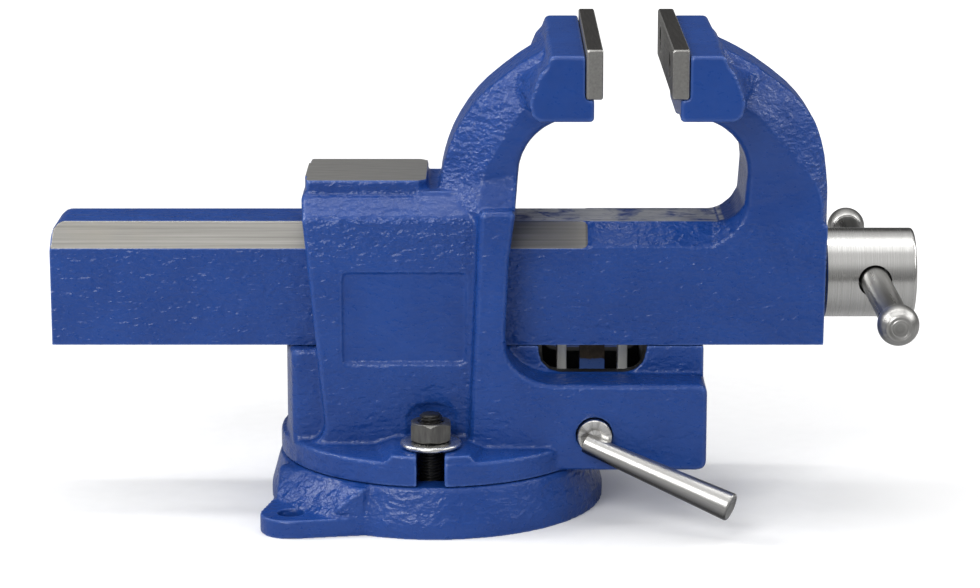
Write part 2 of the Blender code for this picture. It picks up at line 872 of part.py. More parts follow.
def clamp_pad(side):
    """A raised pad for a clamping washer, its sides ramped down to the flange."""
    radius = flange_radius - rim_inset
    points = []
    for z, rim_half, wall_half in (
        (pad_top_z, pad_half_width, pad_half_width),
        (flange_top_z - gap, pad_half_width + pad_rise, pad_half_width + pad_wall_ramp),
    ):
        half_angle = math.asin(rim_half / radius)
        for i in range(arc_steps // 2 + 1):
            angle = half_angle * (4 * i / arc_steps - 1)
            points.append((clamp_x + radius * math.sin(angle), side * radius * math.cos(angle), z))
        points += [(clamp_x + edge * wall_half, side * pad_inner_y, z) for edge in (-1, 1)]
    return hull(points)


def clamp_relief(side):
    """Room for a spanner round a clamping nut, domed at its top."""
    dome = relief_height * relief_dome_share
    dome_z = pad_top_z + relief_height - dome
    profile = [(0, pad_top_z), (relief_radius, pad_top_z)]
    for i in range(arc_steps // 2):
        angle = math.pi / 2 * i / (arc_steps // 2)
        profile.append((relief_radius * math.cos(angle), dome_z + dome * math.sin(angle)))
    profile.append((0, dome_z + dome))
    shape = turned(profile, medium_steps)
    shape.transform(Matrix.Translation((clamp_x, side * clamp_y, 0)))
    return shape


def clamp_notch(side):
    """The slot in the flange that a clamping bolt slides into from the side."""
    facing = 180 if side > 0 else 0
    inner = arc((clamp_x, side * clamp_y), notch_half_width, facing, facing + 180, arc_steps)
    outer_y = side * (flange_radius + overrun)
    ends = [(inner[-1][0], outer_y), (inner[0][0], outer_y)]
    return slab(inner + ends, flange_bottom_z - overrun, pad_top_z + overrun)


def tunnel_outline(clearance, bevel):
    """The bar's section, with a clearance all round."""
    half = bar_half_width + clearance
    top = bar_top_z + clearance
    low = bar_underside_z - clearance
    right = [(half, low), (half, top - bevel), (half - bevel, top)]
    return right + [(-y, z) for y, z in reversed(right)]


def release_cuts():
    """The chamber, window, stem slot and cross bore of the quick-release mechanism."""
    open_z = tunnel_floor_z + overrun
    chamber = centred_box(chamber_left_x, chamber_right_x, chamber_half_y, chamber_floor_z, open_z)
    top = open_z + window_corner
    window = rounded_box_outline(window_left_x, window_right_x, window_bottom_z, top, window_corner)
    slot_x = stem_half_x + stem_slot_clearance
    slot_y = stem_half_y + stem_slot_clearance
    floor_open_z = chamber_floor_z + overrun
    slot = centred_box(cam_x - slot_x, cam_x + slot_x, slot_y, stem_slot_floor_z, floor_open_z)
    window_reach = bar_half_width + overrun
    sights = prism_y(window, -window_reach, window_reach)
    bore = through("Y", (cam_x, 0, cam_z), column_half_width + overrun, medium_steps, shaft_bore_radius)
    holes = []
    for side in (-1, 1):
        hole_y = side * yoke_screw_y
        low_z = chamber_floor_z + yoke_base - yoke_screw_length
        hole = rod((cam_x, hole_y, low_z), (cam_x, hole_y, floor_open_z), tiny_steps, yoke_screw_radius + gap)
        holes.append(hole)
    return [chamber, sights, slot, bore] + holes


def build_body(surface, machined, carrier):
    flange = (
        (0, flange_bottom_z), (flange_radius, flange_bottom_z), (flange_radius, flange_top_z - flange_edge),
        (flange_radius - flange_edge, flange_top_z), (0, flange_top_z),
    )
    body = solid(turned(flange, large_steps))
    low_z = flange_bottom_z + flange_thickness / 2
    join(body, eased(slab(pedestal_plan(), low_z, tunnel_floor_z), cast_edge))
    join(body, eased(main_block(), cast_edge, angle=25))
    join(body, eased(front_block(), cast_edge, angle=30))
    join(body, slab(anvil_outline(), side_top_z, anvil_top_z))
    ledge_half = shoulder_half_width - rim_inset
    ledge_low = (anvil_right_x - anvil_corner, -ledge_half, side_top_z)
    join(body, box(ledge_low, (column_left_x, ledge_half, side_top_z + shoulder_rise + ledge_rise)))
    bridge_low = (column_waist_x, -bridge_half_width, extension_bottom_z + cast_edge)
    join(body, box(bridge_low, (extension_right_x - rim_inset, bridge_half_width, tunnel_floor_z)))
    for side in (-1, 1):
        join(body, clamp_pad(side))
    shares = (fixed_outer_shares, fixed_ridge_shares)
    jaw_arm = arm(fixed_face_x, 1, *shares, fixed_arm_half_width, fixed_arm_flare, False, root_flare)
    join(body, eased(jaw_arm, cast_edge), eased(head(fixed_face_x, 1, fixed_neck_shares), cast_edge))
    pivot_z = flange_bottom_z - pivot_length
    join(body, rod((0, 0, pivot_z), (0, 0, flange_top_z), medium_steps, pivot_radius))
    run = overrun + column_front_x - side_left_x
    cut(body, prism_x(tunnel_outline(gap, bar_bevel), side_left_x - run, column_front_x + run))
    for side in (-1, 1):
        panel = rounded_box_outline(panel_left_x, panel_right_x, panel_bottom_z, panel_top_z, panel_corner)
        wall = side * side_half_width
        near, far = sorted((wall - side * panel_depth, wall + side * overrun))
        cut(body, prism_y(panel, near, far), clamp_relief(side), clamp_notch(side))
    cut(body, *release_cuts())
    screw_reach = plate_screw_length + plate_thickness
    cut(body, seat_cut(fixed_face_x, 1))
    cut(body, *plate_screw_holes(fixed_face_x, 1, plate_screw_radius + gap, screw_reach))
    finish(body, "vise_body", surface, carrier)

    def on_anvil(place, normal):
        return place.z > anvil_top_z - gap and place.x < anvil_right_x

    second_material(body, machined, on_anvil)
    return body


# Moving jaw


def moving_outline():
    """The bar and the root of the moving jaw from the side."""
    radius = bar_end_radius
    corner = arc((bar_left_x + radius, bar_top_z - radius), radius, 90, 180, 3)
    return [(jaw_front_x, bar_top_z + root_edge)] + corner + [
        (bar_left_x, bar_underside_z), (jaw_front_x - jaw_front_draft, bar_underside_z),
    ]


def bevel_tools(depth, right_x):
    """The two long cuts that bevel the bar's upper edges."""
    tools = []
    for side in (-1, 1):
        corner_y, corner_z = side * (bar_half_width + overrun), bar_top_z + overrun
        reach = depth + 2 * overrun
        outline = [(corner_y, corner_z), (corner_y - side * reach, corner_z), (corner_y, corner_z - reach)]
        tools.append(prism_x(outline, bar_left_x - overrun, right_x))
    return tools


def build_moving_jaw(surface, machined, carrier):
    outline = moving_outline()
    bar_top = [(x, min(z, bar_top_z)) for x, z in outline]
    jaw = solid(prism_y(bar_top, -bar_half_width, bar_half_width))
    cut(jaw, *bevel_tools(bar_cast_bevel, bar_cast_right_x), *bevel_tools(bar_bevel, bar_machined_right_x))
    shares = (moving_outer_shares, moving_ridge_shares)
    jaw_arm = arm(moving_face_x, -1, *shares, moving_arm_half_width, moving_arm_flare, True)
    join(jaw, eased(jaw_arm, cast_edge), eased(head(moving_face_x, -1, moving_neck_shares), cast_edge))
    channel = arc((0, spindle_z), channel_half_width, 0, 180, 2 * arc_steps)
    channel += [(side * channel_half_width, bar_underside_z - overrun) for side in (-1, 1)]
    cut(jaw, prism_x(channel, bar_left_x - overrun, front_wall_x))
    bore_start = (front_wall_x - overrun, 0, spindle_z)
    bore_end = (jaw_front_x + overrun, 0, spindle_z)
    cut(jaw, rod(bore_start, bore_end, medium_steps, shank_radius + gap))
    screw_reach = plate_screw_length + plate_thickness
    cut(jaw, seat_cut(moving_face_x, -1))
    cut(jaw, *plate_screw_holes(moving_face_x, -1, plate_screw_radius + gap, screw_reach))
    finish(jaw, "moving_jaw", surface, carrier)

    def on_bevel(place, normal):
        along = place.x < bar_machined_right_x
        return along and normal.z > 0.5 and abs(normal.y) > 0.5 and place.z > bar_top_z - bar_bevel - gap

    second_material(jaw, machined, on_bevel)
    return jaw


# Jaw plates and their screws


def build_plate(name, face_x, way, surface, carrier):
    back_x = face_x - way * plate_thickness
    left, right = sorted((face_x, back_x))
    blank = centred_box(left, right, jaw_width / 2, plate_bottom_z, plate_bottom_z + plate_height)
    plate = eased(blank, plate_edge)
    cut(plate, *plate_screw_holes(face_x, way, plate_screw_radius + gap, plate_thickness + overrun))
    head_reach = plate_screw_recess + plate_screw_head + gap
    cut(plate, *plate_screw_holes(face_x, way, plate_screw_head_radius + gap, head_reach))
    return finish(plate, name, surface, carrier)


def build_plate_screw(name, face_x, way, side, surface, carrier):
    """A socket-headed screw, its head sunk under the gripping face."""
    head_end = plate_screw_length + plate_screw_head
    profile = (
        (0, 0), (plate_screw_head_radius, 0), (plate_screw_head_radius, plate_screw_head),
        (plate_screw_radius, plate_screw_head), (plate_screw_radius, head_end), (0, head_end),
    )
    screw = solid(turned(profile, small_steps))
    socket = rod((0, 0, -overrun), (0, 0, socket_depth), 6, socket_width / math.sqrt(3))
    cut(screw, socket)
    turn = Matrix.Rotation(-way * math.pi / 2, 4, "Y")
    place = (face_x - way * plate_screw_recess, side * plate_screw_y, plate_middle_z)
    screw.data.transform(Matrix.Translation(place) @ turn)
    return finish(screw, name, surface, carrier)


# Spindle, handle and thrust collar


def build_spindle(surface, carrier):
    head_start = jaw_front_x + gap
    head_end = jaw_front_x + head_length
    shank_end = front_wall_x - collar_length - 2 * gap - shank_end_step
    profile = (
        (0, thread_left_x), (thread_radius - thread_end_chamfer, thread_left_x),
        (thread_radius, thread_left_x + thread_end_chamfer), (thread_radius, shank_end),
        (shank_radius, shank_end + shank_end_step), (shank_radius, head_start), (head_radius, head_start),
        (head_radius, head_end - head_chamfer), (head_radius - head_chamfer, head_end), (0, head_end),
    )
    spindle = solid(along_x(turned(profile, medium_steps), (0, 0, spindle_z)))
    hole_reach = head_radius + overrun
    hole = through("Y", (handle_x, 0, spindle_z), hole_reach, medium_steps, handle_hole_radius)
    pin_x = front_wall_x - gap - collar_length / 2
    pin_hole = through("Z", (pin_x, 0, spindle_z), hole_reach, tiny_steps, collar_pin_radius + gap)
    cut(spindle, hole, pin_hole)
    return finish(spindle, "spindle", surface, carrier)


def build_collar(surface, pin_surface, carrier):
    right_x = front_wall_x - gap
    left_x = right_x - collar_length
    inner, outer = shank_radius + gap, channel_half_width - gap
    profile = ((inner, left_x), (outer, left_x), (outer, right_x), (inner, right_x))
    collar = solid(along_x(turned(profile, small_steps, ring=True), (0, 0, spindle_z)))
    pin_x = (left_x + right_x) / 2
    reach = outer + overrun
    hole = through("Z", (pin_x, 0, spindle_z), reach, tiny_steps, collar_pin_radius + gap)
    cut(collar, hole)
    finish(collar, "thrust_collar", surface, carrier)
    half = outer - gap
    pin = solid(through("Z", (pin_x, 0, spindle_z), half, tiny_steps, collar_pin_radius))
    finish(pin, "collar_pin", pin_surface, carrier)


def build_handle(surface, carrier):
    """The sliding rod with a ball on the spigot at each end."""
    shoulder = handle_half_length - ball_radius / 2
    end = shoulder + handle_spigot_length
    spigot = [(handle_spigot_radius, shoulder), (handle_spigot_radius, end)]
    half = [(handle_radius, shoulder), *spigot, (0, end)]
    profile = [(radius, -height) for radius, height in reversed(half)] + half
    bar = turned(profile, small_steps)
    bar.transform(Matrix.Translation((handle_x, 0, spindle_z)) @ Matrix.Rotation(math.pi / 2, 4, "X"))
    finish(solid(bar), "tommy_bar", surface, carrier)
    for name, side in (("tommy_ball_front", -1), ("tommy_ball_back", 1)):
        bore = handle_spigot_radius + gap
        start = -ball_radius / 2 + gap
        bore_end = start + handle_spigot_length
        face = ball_radius * ball_face_share
        points = [(bore, start)]
        first = math.atan2(start, math.sqrt(ball_radius**2 - start**2))
        last = math.asin(ball_face_share)
        for i in range(ball_steps + 1):
            angle = first + (last - first) * i / ball_steps
            points.append((ball_radius * math.cos(angle), ball_radius * math.sin(angle)))
        points += [(0, face), (0, bore_end), (bore, bore_end)]
        ball = turned(points, small_steps, ring=True)
        turn = Matrix.Rotation(-side * math.pi / 2, 4, "X")
        ball.transform(Matrix.Translation((handle_x, side * handle_half_length, spindle_z)) @ turn)
        finish(solid(ball), name, surface, carrier)


# Quick-release mechanism


def build_half_nut(surface, carrier):
    """A saddle under the thread, on a stem whose hook holds the shaft's eccentric."""
    left, right = cam_x - saddle_half_x, cam_x + saddle_half_x
    nut = eased(centred_box(left, right, saddle_half_y, saddle_bottom_z, saddle_top_z), cast_edge / 2)
    reach = saddle_half_x + overrun
    groove_radius = thread_radius + saddle_clearance
    cut(nut, through("X", (cam_x, 0, spindle_z), reach, medium_steps, groove_radius))
    low = (cam_x - stem_half_x, -stem_half_y, stem_bottom_z)
    high = (cam_x + stem_half_x, stem_half_y, saddle_bottom_z + gap)
    join(nut, box(low, high))
    hook = cam_pin_radius + cam_slack
    slot_end = cam_x - cam_throw * abs(math.cos(cam_rest_angle))
    outline = arc((slot_end, cam_pin_z), hook, -90, 90, arc_steps)
    left = cam_x - stem_half_x - overrun
    outline += [(left, cam_pin_z + hook), (left, cam_pin_z - hook)]
    cut(nut, prism_y(outline, -stem_half_y - overrun, stem_half_y + overrun))
    return finish(nut, "half_nut", surface, carrier)


def build_yoke(surface, carrier):
    """A U bracket whose posts guide the half nut's springs."""
    low = chamber_floor_z + gap
    base_top = low + yoke_base
    left, right = cam_x - yoke_half_length, cam_x + yoke_half_length
    inner_left, inner_right = left + yoke_post_width, right - yoke_post_width
    fillet = yoke_fillet
    outline = [(left, low), (right, low), (right, yoke_post_top_z), (inner_right, yoke_post_top_z)]
    outline += arc((inner_right - fillet, base_top + fillet), fillet, 0, -90, 3)
    outline += arc((inner_left + fillet, base_top + fillet), fillet, -90, -180, 3)
    outline += [(inner_left, yoke_post_top_z), (left, yoke_post_top_z)]
    yoke = solid(prism_y(outline, -yoke_post_half_y, yoke_post_half_y))
    wing = stem_half_x + yoke_stem_clearance + yoke_base
    join(yoke, box((cam_x - wing, -yoke_half_width, low), (cam_x + wing, yoke_half_width, base_top)))
    opening_x, opening_y = stem_half_x + yoke_stem_clearance, stem_half_y + yoke_stem_clearance
    cut(yoke, centred_box(cam_x - opening_x, cam_x + opening_x, opening_y, low - overrun, base_top + overrun))
    for side in (-1, 1):
        hole_place = (cam_x, side * yoke_screw_y, base_top)
        cut(yoke, through("Z", hole_place, yoke_base + overrun, tiny_steps, yoke_screw_radius + gap))
        post_x = cam_x + side * (yoke_half_length - yoke_post_width / 2)
        spigot = (post_x, 0, yoke_post_top_z)
        join(yoke, through("Z", spigot, yoke_spigot_height, tiny_steps, yoke_spigot_radius))
    return finish(yoke, "guide_yoke", surface, carrier)


def build_yoke_screw(name, side, surface, carrier):
    base_top = chamber_floor_z + gap + yoke_base
    seat = base_top + gap
    profile = (
        (0, base_top - yoke_screw_length), (yoke_screw_radius, base_top - yoke_screw_length),
        (yoke_screw_radius, seat), (yoke_screw_head_radius, seat),
        (yoke_screw_head_radius, seat + yoke_screw_head), (0, seat + yoke_screw_head),
    )
    screw = turned(profile, tiny_steps)
    screw.transform(Matrix.Translation((cam_x, side * yoke_screw_y, 0)))
    return finish(solid(screw), name, surface, carrier)


def build_spring(name, side, surface, carrier):
    """A compression spring on a yoke post, under the half nut; its least gap to itself is printed."""
    post_x = cam_x + side * (yoke_half_length - yoke_post_width / 2)
    low = yoke_post_top_z + gap + spring_wire_radius
    high = saddle_bottom_z - gap - spring_wire_radius
    count = spring_turns * spring_points_per_turn
    points = []
    for i in range(count + 1):
        angle = 2 * math.pi * i / spring_points_per_turn
        height = low + (high - low) * i / count
        points.append(Vector((
            post_x + spring_coil_radius * math.cos(angle), spring_coil_radius * math.sin(angle), height,
        )))
    apart = min(
        (first - second).length
        for i, first in enumerate(points) for second in points[i + spring_points_per_turn // 2:]
    )
    print(name, "least gap to itself", round(apart - 2 * spring_wire_radius, 5), "m")
    curve = bpy.data.curves.new(name, "CURVE")
    curve.dimensions = "3D"
    curve.bevel_depth = spring_wire_radius
    curve.bevel_resolution = 1
    curve.use_fill_caps = True
    line = curve.splines.new("POLY")
    line.points.add(len(points) - 1)
    place = world_place(carrier)
    for target, point in zip(line.points, points):
        target.co = (*(point - place), 1)
    spring = bpy.data.objects.new(name, curve)
    bpy.context.scene.collection.objects.link(spring)
    spring.parent = carrier
    curve.materials.append(surface)


def build_shaft(surface, carrier):
    """The cross shaft: its middle is turned down to an eccentric pin that works the half nut."""
    clip_low = column_half_width + gap
    clip_high = clip_low + clip_thickness + 2 * gap
    groove_radius = shaft_radius - clip_groove_depth
    end_edge = lever_tip_chamfer
    dish_y = shaft_front_y + shaft_dish_depth
    profile = (
        (0, dish_y), (shaft_dish_radius / 2, dish_y), (shaft_dish_radius, shaft_front_y),
        (shaft_radius - end_edge / 2, shaft_front_y), (shaft_radius, shaft_front_y + end_edge / 2),
        (shaft_radius, clip_low - gap), (groove_radius, clip_low - gap),
        (groove_radius, clip_high), (shaft_radius, clip_high), (shaft_radius, shaft_back_y - end_edge),
        (shaft_radius - end_edge, shaft_back_y), (0, shaft_back_y),
    )
    shape = turned(profile, medium_steps)
    shape.transform(Matrix.Translation((cam_x, 0, cam_z)) @ Matrix.Rotation(-math.pi / 2, 4, "X"))
    shaft = solid(shape)
    reach = shaft_radius + overrun
    cut(shaft, centred_box(cam_x - reach, cam_x + reach, cam_half_length, cam_z - reach, cam_z + reach))
    pin_place = (cam_pin_x, 0, cam_pin_z)
    join(shaft, through("Y", pin_place, cam_half_length + cast_edge, small_steps, cam_pin_radius))
    ends = [(lever_radius(along) + gap, along) for along in (-gap, 4 * lever_socket_depth)]
    cut(shaft, lever_shape([(0, ends[0][1]), *ends, (0, ends[1][1])]))
    return finish(shaft, "release_shaft", surface, carrier)


def lever_line():
    """The lever's two ends: one inside the shaft's end face, the other at its free tip."""
    tip = Vector((lever_tip_x, lever_tip_y, lever_tip_z))
    entry = Vector((cam_x - lever_root_left, shaft_front_y, cam_z - lever_root_drop))
    return entry + (entry - tip).normalized() * lever_socket_depth, tip


def lever_radius(along):
    start, tip = lever_line()
    return lever_root_radius + (lever_tip_radius - lever_root_radius) * along / (tip - start).length


def lever_shape(profile):
    """A profile of (radius, distance along the lever), turned about the lever's line."""
    start, tip = lever_line()
    shape = turned(profile, small_steps)
    turn = (tip - start).to_track_quat("Z", "Y").to_matrix().to_4x4()
    shape.transform(Matrix.Translation(start) @ turn)
    return shape


def build_lever(surface, carrier):
    start, tip = lever_line()
    end = (tip - start).length
    edge = lever_tip_chamfer
    profile = [(0, 0), (lever_root_radius, 0), (lever_tip_radius, end - edge)]
    profile += [(lever_tip_radius - edge, end), (0, end)]
    return finish(solid(lever_shape(profile)), "release_lever", surface, carrier)


def build_clip(surface, carrier):
    """An open retaining ring in the groove behind the body."""
    inner = shaft_radius - clip_groove_depth + gap
    half_opening = math.degrees(clip_opening) / 2
    start, end = 90 + half_opening, 450 - half_opening
    outline = arc((cam_x, cam_z), clip_outer_radius, start, end, 2 * arc_steps)
    outline += arc((cam_x, cam_z), inner, end, start, 2 * arc_steps)
    low = column_half_width + gap
    return finish(solid(prism_y(outline, low, low + clip_thickness)), "shaft_clip", surface, carrier)


# Clamping bolts


def build_clamp(place, side, surfaces, body_axis, nut_axis):
    bolt_surface, washer_surface, nut_surface = surfaces
    centre = (clamp_x, side * clamp_y)
    head_top = base_height - slot_lip - gap
    head_low = slot_floor_z + gap
    half = bolt_head_width / 2
    bolt = solid(box(
        (centre[0] - half, centre[1] - half, head_low), (centre[0] + half, centre[1] + half, head_top),
    ))
    edge = rim_inset
    shank = turned((
        (0, head_low + edge), (bolt_radius, head_low + edge), (bolt_radius, bolt_end_z - 2 * edge),
        (bolt_radius - 2 * edge, bolt_end_z), (0, bolt_end_z),
    ), small_steps)
    shank.transform(Matrix.Translation((*centre, 0)))
    join(bolt, shank)
    finish(bolt, "clamp_bolt_" + place, bolt_surface, body_axis)
    washer_low = pad_top_z + gap
    washer_top = washer_low + washer_thickness
    washer = turned((
        (washer_hole_radius, washer_low), (washer_radius, washer_low), (washer_radius, washer_top - edge),
        (washer_radius - edge, washer_top), (washer_hole_radius, washer_top),
    ), medium_steps, ring=True)
    washer.transform(Matrix.Translation((*centre, 0)))
    finish(solid(washer), "clamp_washer_" + place, washer_surface, body_axis)
    low = washer_top + gap
    corner = nut_width / math.sqrt(3)
    chamfer = corner - nut_width / 2
    blank = turned((
        (0, 0), (nut_width / 2, 0), (corner, chamfer / 2), (corner, nut_height - chamfer / 2),
        (nut_width / 2, nut_height), (0, nut_height),
    ), medium_steps)
    nut = solid(blank)
    hexagon = rod((0, 0, -overrun), (0, 0, nut_height + overrun), 6, corner)
    hexagon.transform(Matrix.Rotation(math.radians(30), 4, "Z"))
    combine(nut, "INTERSECT", [solid(hexagon)])
    cut(nut, rod((0, 0, -overrun), (0, 0, nut_height + overrun), small_steps, nut_hole_radius))
    nut.data.transform(Matrix.Translation((*centre, low)))
    finish(nut, "clamp_nut_" + place, nut_surface, nut_axis)


def main():
    for thing in list(bpy.data.objects):
        bpy.data.objects.remove(thing)
    paint = material("blue_paint", (0.026, 0.075, 0.30), 0.38, 0.0)
    machined = material("machined_iron", (0.30, 0.29, 0.27), 0.35, 1.0)
    hardened = material("hardened_steel", (0.25, 0.25, 0.24), 0.40, 1.0)
    bright = material("bright_steel", (0.62, 0.61, 0.60), 0.22, 1.0)
    zinc = material("zinc_plate", (0.70, 0.70, 0.68), 0.30, 1.0)
    black = material("black_oxide", (0.020, 0.020, 0.022), 0.45, 0.8)
    dark = material("dark_steel", (0.12, 0.12, 0.11), 0.40, 1.0)

    bench = axis_at("bench", (0, 0, 0))
    swivel = axis_at("swivel_axis", (0, 0, 0), bench)
    slide = axis_at("jaw_slide_axis", (moving_face_x, 0, spindle_z), swivel)
    screw = axis_at("spindle_axis", (jaw_front_x, 0, spindle_z), slide)
    handle = axis_at("handle_axis", (handle_x, 0, spindle_z), screw)
    release = axis_at("release_axis", (cam_x, 0, cam_z), swivel)
    lift = axis_at("half_nut_axis", (cam_x, 0, saddle_bottom_z), swivel)

    build_base(paint, bench)
    build_body(paint, machined, swivel)
    build_moving_jaw(paint, machined, slide)
    jaws = (("fixed", fixed_face_x, 1, swivel), ("moving", moving_face_x, -1, slide))
    for name, face_x, way, carrier in jaws:
        build_plate(name + "_jaw_insert", face_x, way, hardened, carrier)
        for place, side in (("front", -1), ("back", 1)):
            build_plate_screw(f"{name}_insert_screw_{place}", face_x, way, side, dark, carrier)
    build_spindle(bright, screw)
    build_collar(dark, bright, screw)
    build_handle(bright, handle)
    build_half_nut(dark, lift)
    build_yoke(zinc, swivel)
    build_shaft(bright, release)
    build_lever(bright, release)
    build_clip(black, release)
    for place, side in (("front", -1), ("back", 1)):
        build_yoke_screw("yoke_screw_" + place, side, dark, swivel)
        build_spring("nut_spring_" + ("left" if side < 0 else "right"), side, zinc, swivel)
        nut_axis = axis_at("clamp_axis_" + place, (clamp_x, side * clamp_y, pad_top_z), swivel)
        build_clamp(place, side, (black, zinc, dark), swivel, nut_axis)


main()
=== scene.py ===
import math

import bmesh
import bpy
import numpy as np
from mathutils import Matrix, Vector


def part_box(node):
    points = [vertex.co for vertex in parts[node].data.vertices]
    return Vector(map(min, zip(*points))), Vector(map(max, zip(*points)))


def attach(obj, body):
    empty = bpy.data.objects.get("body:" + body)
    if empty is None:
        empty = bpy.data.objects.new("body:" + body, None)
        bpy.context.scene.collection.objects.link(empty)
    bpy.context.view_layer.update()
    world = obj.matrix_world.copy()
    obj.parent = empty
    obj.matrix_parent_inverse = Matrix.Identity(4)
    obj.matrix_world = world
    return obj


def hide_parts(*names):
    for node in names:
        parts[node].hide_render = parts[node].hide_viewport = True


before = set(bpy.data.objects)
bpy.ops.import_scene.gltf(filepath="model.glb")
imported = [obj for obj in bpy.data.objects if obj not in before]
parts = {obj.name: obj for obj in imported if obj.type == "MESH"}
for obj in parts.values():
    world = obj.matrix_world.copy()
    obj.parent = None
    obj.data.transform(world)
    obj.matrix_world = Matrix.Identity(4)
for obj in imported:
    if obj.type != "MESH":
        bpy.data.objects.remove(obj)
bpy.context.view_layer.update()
mm = 0.001
sides = (("front", -1), ("back", 1))
print("frame loaded:", len(parts), "parts")


# Node helpers

def feed(tree, socket, value):
    # a socket takes a number or another node's output
    if isinstance(value, bpy.types.NodeSocket):
        tree.links.new(value, socket)
    else:
        socket.default_value = value


def put(tree, kind, sockets=None, **settings):
    item = tree.nodes.new("ShaderNode" + kind)
    for key, value in settings.items():
        setattr(item, key, value)
    for key, value in (sockets or {}).items():
        feed(tree, item.inputs[key], value)
    return item


def maths(tree, operation, first, second=0.0):
    return put(tree, "Math", {0: first, 1: second}, operation=operation).outputs[0]


def plus(tree, first, second):
    return maths(tree, "ADD", first, second)


def minus(tree, first, second):
    return maths(tree, "SUBTRACT", first, second)


def times(tree, *values):
    total = values[0]
    for value in values[1:]:
        total = maths(tree, "MULTIPLY", total, value)
    return total


def larger(tree, first, second):
    return maths(tree, "MAXIMUM", first, second)


def smaller(tree, first, second):
    return maths(tree, "MINIMUM", first, second)


def distanceOf(tree, first, second):
    return maths(tree, "SQRT", plus(tree, times(tree, first, first), times(tree, second, second)))


def remap(tree, value, fromLow, fromHigh, toLow, toHigh):
    return put(tree, "MapRange", {"Value": value, "From Min": fromLow, "From Max": fromHigh,
                                  "To Min": toLow, "To Max": toHigh}).outputs[0]


def soft(tree, value, low, high):
    # 0 at low, 1 at high, straight between them
    return remap(tree, value, low, high, 0.0, 1.0)


def place(tree):
    return put(tree, "TexCoord").outputs["Object"]


def axesOf(tree, vector):
    return put(tree, "SeparateXYZ", {0: vector}).outputs


def inMillimetres(tree):
    return [times(tree, axis, 1 / mm) for axis in axesOf(tree, place(tree))]


def facingOf(tree):
    return axesOf(tree, put(tree, "TexCoord").outputs["Normal"])


def stretched(tree, scale):
    return put(tree, "Mapping", {"Vector": place(tree), "Scale": scale}).outputs[0]


def noise(tree, vector, scale, detail=2.0, roughness=0.5, distortion=0.0):
    return put(tree, "TexNoise", {"Vector": vector, "Scale": scale, "Detail": detail,
                                  "Roughness": roughness, "Distortion": distortion}).outputs["Fac"]


def mixColours(tree, factor, first, second):
    item = put(tree, "Mix", {0: factor}, data_type="RGBA")
    feed(tree, item.inputs[6], first)
    feed(tree, item.inputs[7], second)
    return item.outputs[2]


def mixShaders(tree, factor, first, second):
    return put(tree, "MixShader", {0: factor, 1: first.outputs[0], 2: second.outputs[0]})


def material(name, shaderMaker, *options):
    made = bpy.data.materials.new(name)
    made.use_nodes = True
    tree = made.node_tree
    tree.nodes.clear()
    output = put(tree, "OutputMaterial")
    tree.links.new(shaderMaker(tree, *options).outputs[0], output.inputs[0])
    return made


# Blue cast enamel: a wrinkled skin; paler on sharp edges, where thin worn paint carries a painted highlight,
# and darker in the corners with painted shade
paint = {
    "colour": (0.0085, 0.050, 0.242, 1),
    "deep": (0.0050, 0.034, 0.180, 1),
    # the edges' pale colour: thin worn paint and a painted highlight
    "worn": (0.065, 0.130, 0.380, 1),
    "roughness": 0.32,
    "glossSwing": 0.05,
    "specular": 0.42,
    "blotch": {"scale": 38, "detail": 3, "roughness": 0.55, "low": 0.35, "high": 0.68, "share": 0.5},
    "edge": {"low": 0.515, "high": 0.565, "share": 0.9},         # pointiness of the edges, paled by wear and by a painted highlight
    "corner": {"low": 0.47, "high": 0.40, "share": 0.6},         # and of corners, darkened as painted shade
    "stretch": (0.8, 0.8, 1.35),  # the wrinkles lie level
    "wrinkleScale": 430,          # wrinkles per metre
    "coarseScale": 170,
    "coarseShare": 2.0,
    "fineScale": 950,
    "fineShare": 0.32,
    "leastDepth": 0.00006,        # on the smooth heads
    "mostDepth": 0.0013,          # on the rough flanks
}


def paintColour(tree):
    blotch, edge, corner = paint["blotch"], paint["edge"], paint["corner"]
    spots = noise(tree, place(tree), blotch["scale"], blotch["detail"], blotch["roughness"])
    share = remap(tree, spots, blotch["low"], blotch["high"], 0.0, blotch["share"])
    colour = mixColours(tree, share, paint["colour"], paint["deep"])
    # pale edges are partly wear and partly a painted highlight; dark corners are painted shade
    pointed = put(tree, "NewGeometry").outputs["Pointiness"]
    share = remap(tree, pointed, edge["low"], edge["high"], 0.0, edge["share"])
    colour = mixColours(tree, share, colour, paint["worn"])
    share = remap(tree, pointed, corner["low"], corner["high"], 0.0, corner["share"])
    return mixColours(tree, share, colour, paint["deep"])


def paintShader(tree):
    # the meshes carry a value named rough, 0 to 1, that sets the wrinkles' depth
    rough = put(tree, "Attribute", attribute_name="rough").outputs["Fac"]
    skin = stretched(tree, paint["stretch"])
    wrinkle = noise(tree, skin, paint["wrinkleScale"], 1.0, 0.45, 0.35)
    coarse = noise(tree, skin, paint["coarseScale"], 1.0, 0.5, 0.5)
    fine = noise(tree, place(tree), paint["fineScale"], 1.0)
    height = plus(tree, wrinkle, times(tree, fine, paint["fineShare"]))
    height = plus(tree, height, times(tree, coarse, paint["coarseShare"]))
    depth = remap(tree, rough, 0.0, 1.0, paint["leastDepth"], paint["mostDepth"])
    bump = put(tree, "Bump", {"Strength": 1.0, "Distance": depth, "Height": height})
    swing = paint["glossSwing"]
    gloss = remap(tree, wrinkle, 0.3, 0.7, paint["roughness"] + swing, paint["roughness"] - swing)
    return put(tree, "BsdfPrincipled", {
        "Base Color": paintColour(tree), "Roughness": gloss, "Normal": bump.outputs[0],
        "Specular IOR Level": paint["specular"], "Metallic": 0.0,
    })


# Bare metal: fine tool marks over wide stains. What a finish doesn't name comes from this one
plainMetal = {"pattern": "along", "blotchScale": 60, "stain": 0.25, "strength": 0.25, "metallic": 1.0,
              "glossSwing": 0.06, "markDepth": 0.0001, "leastRadius": 0.0003}


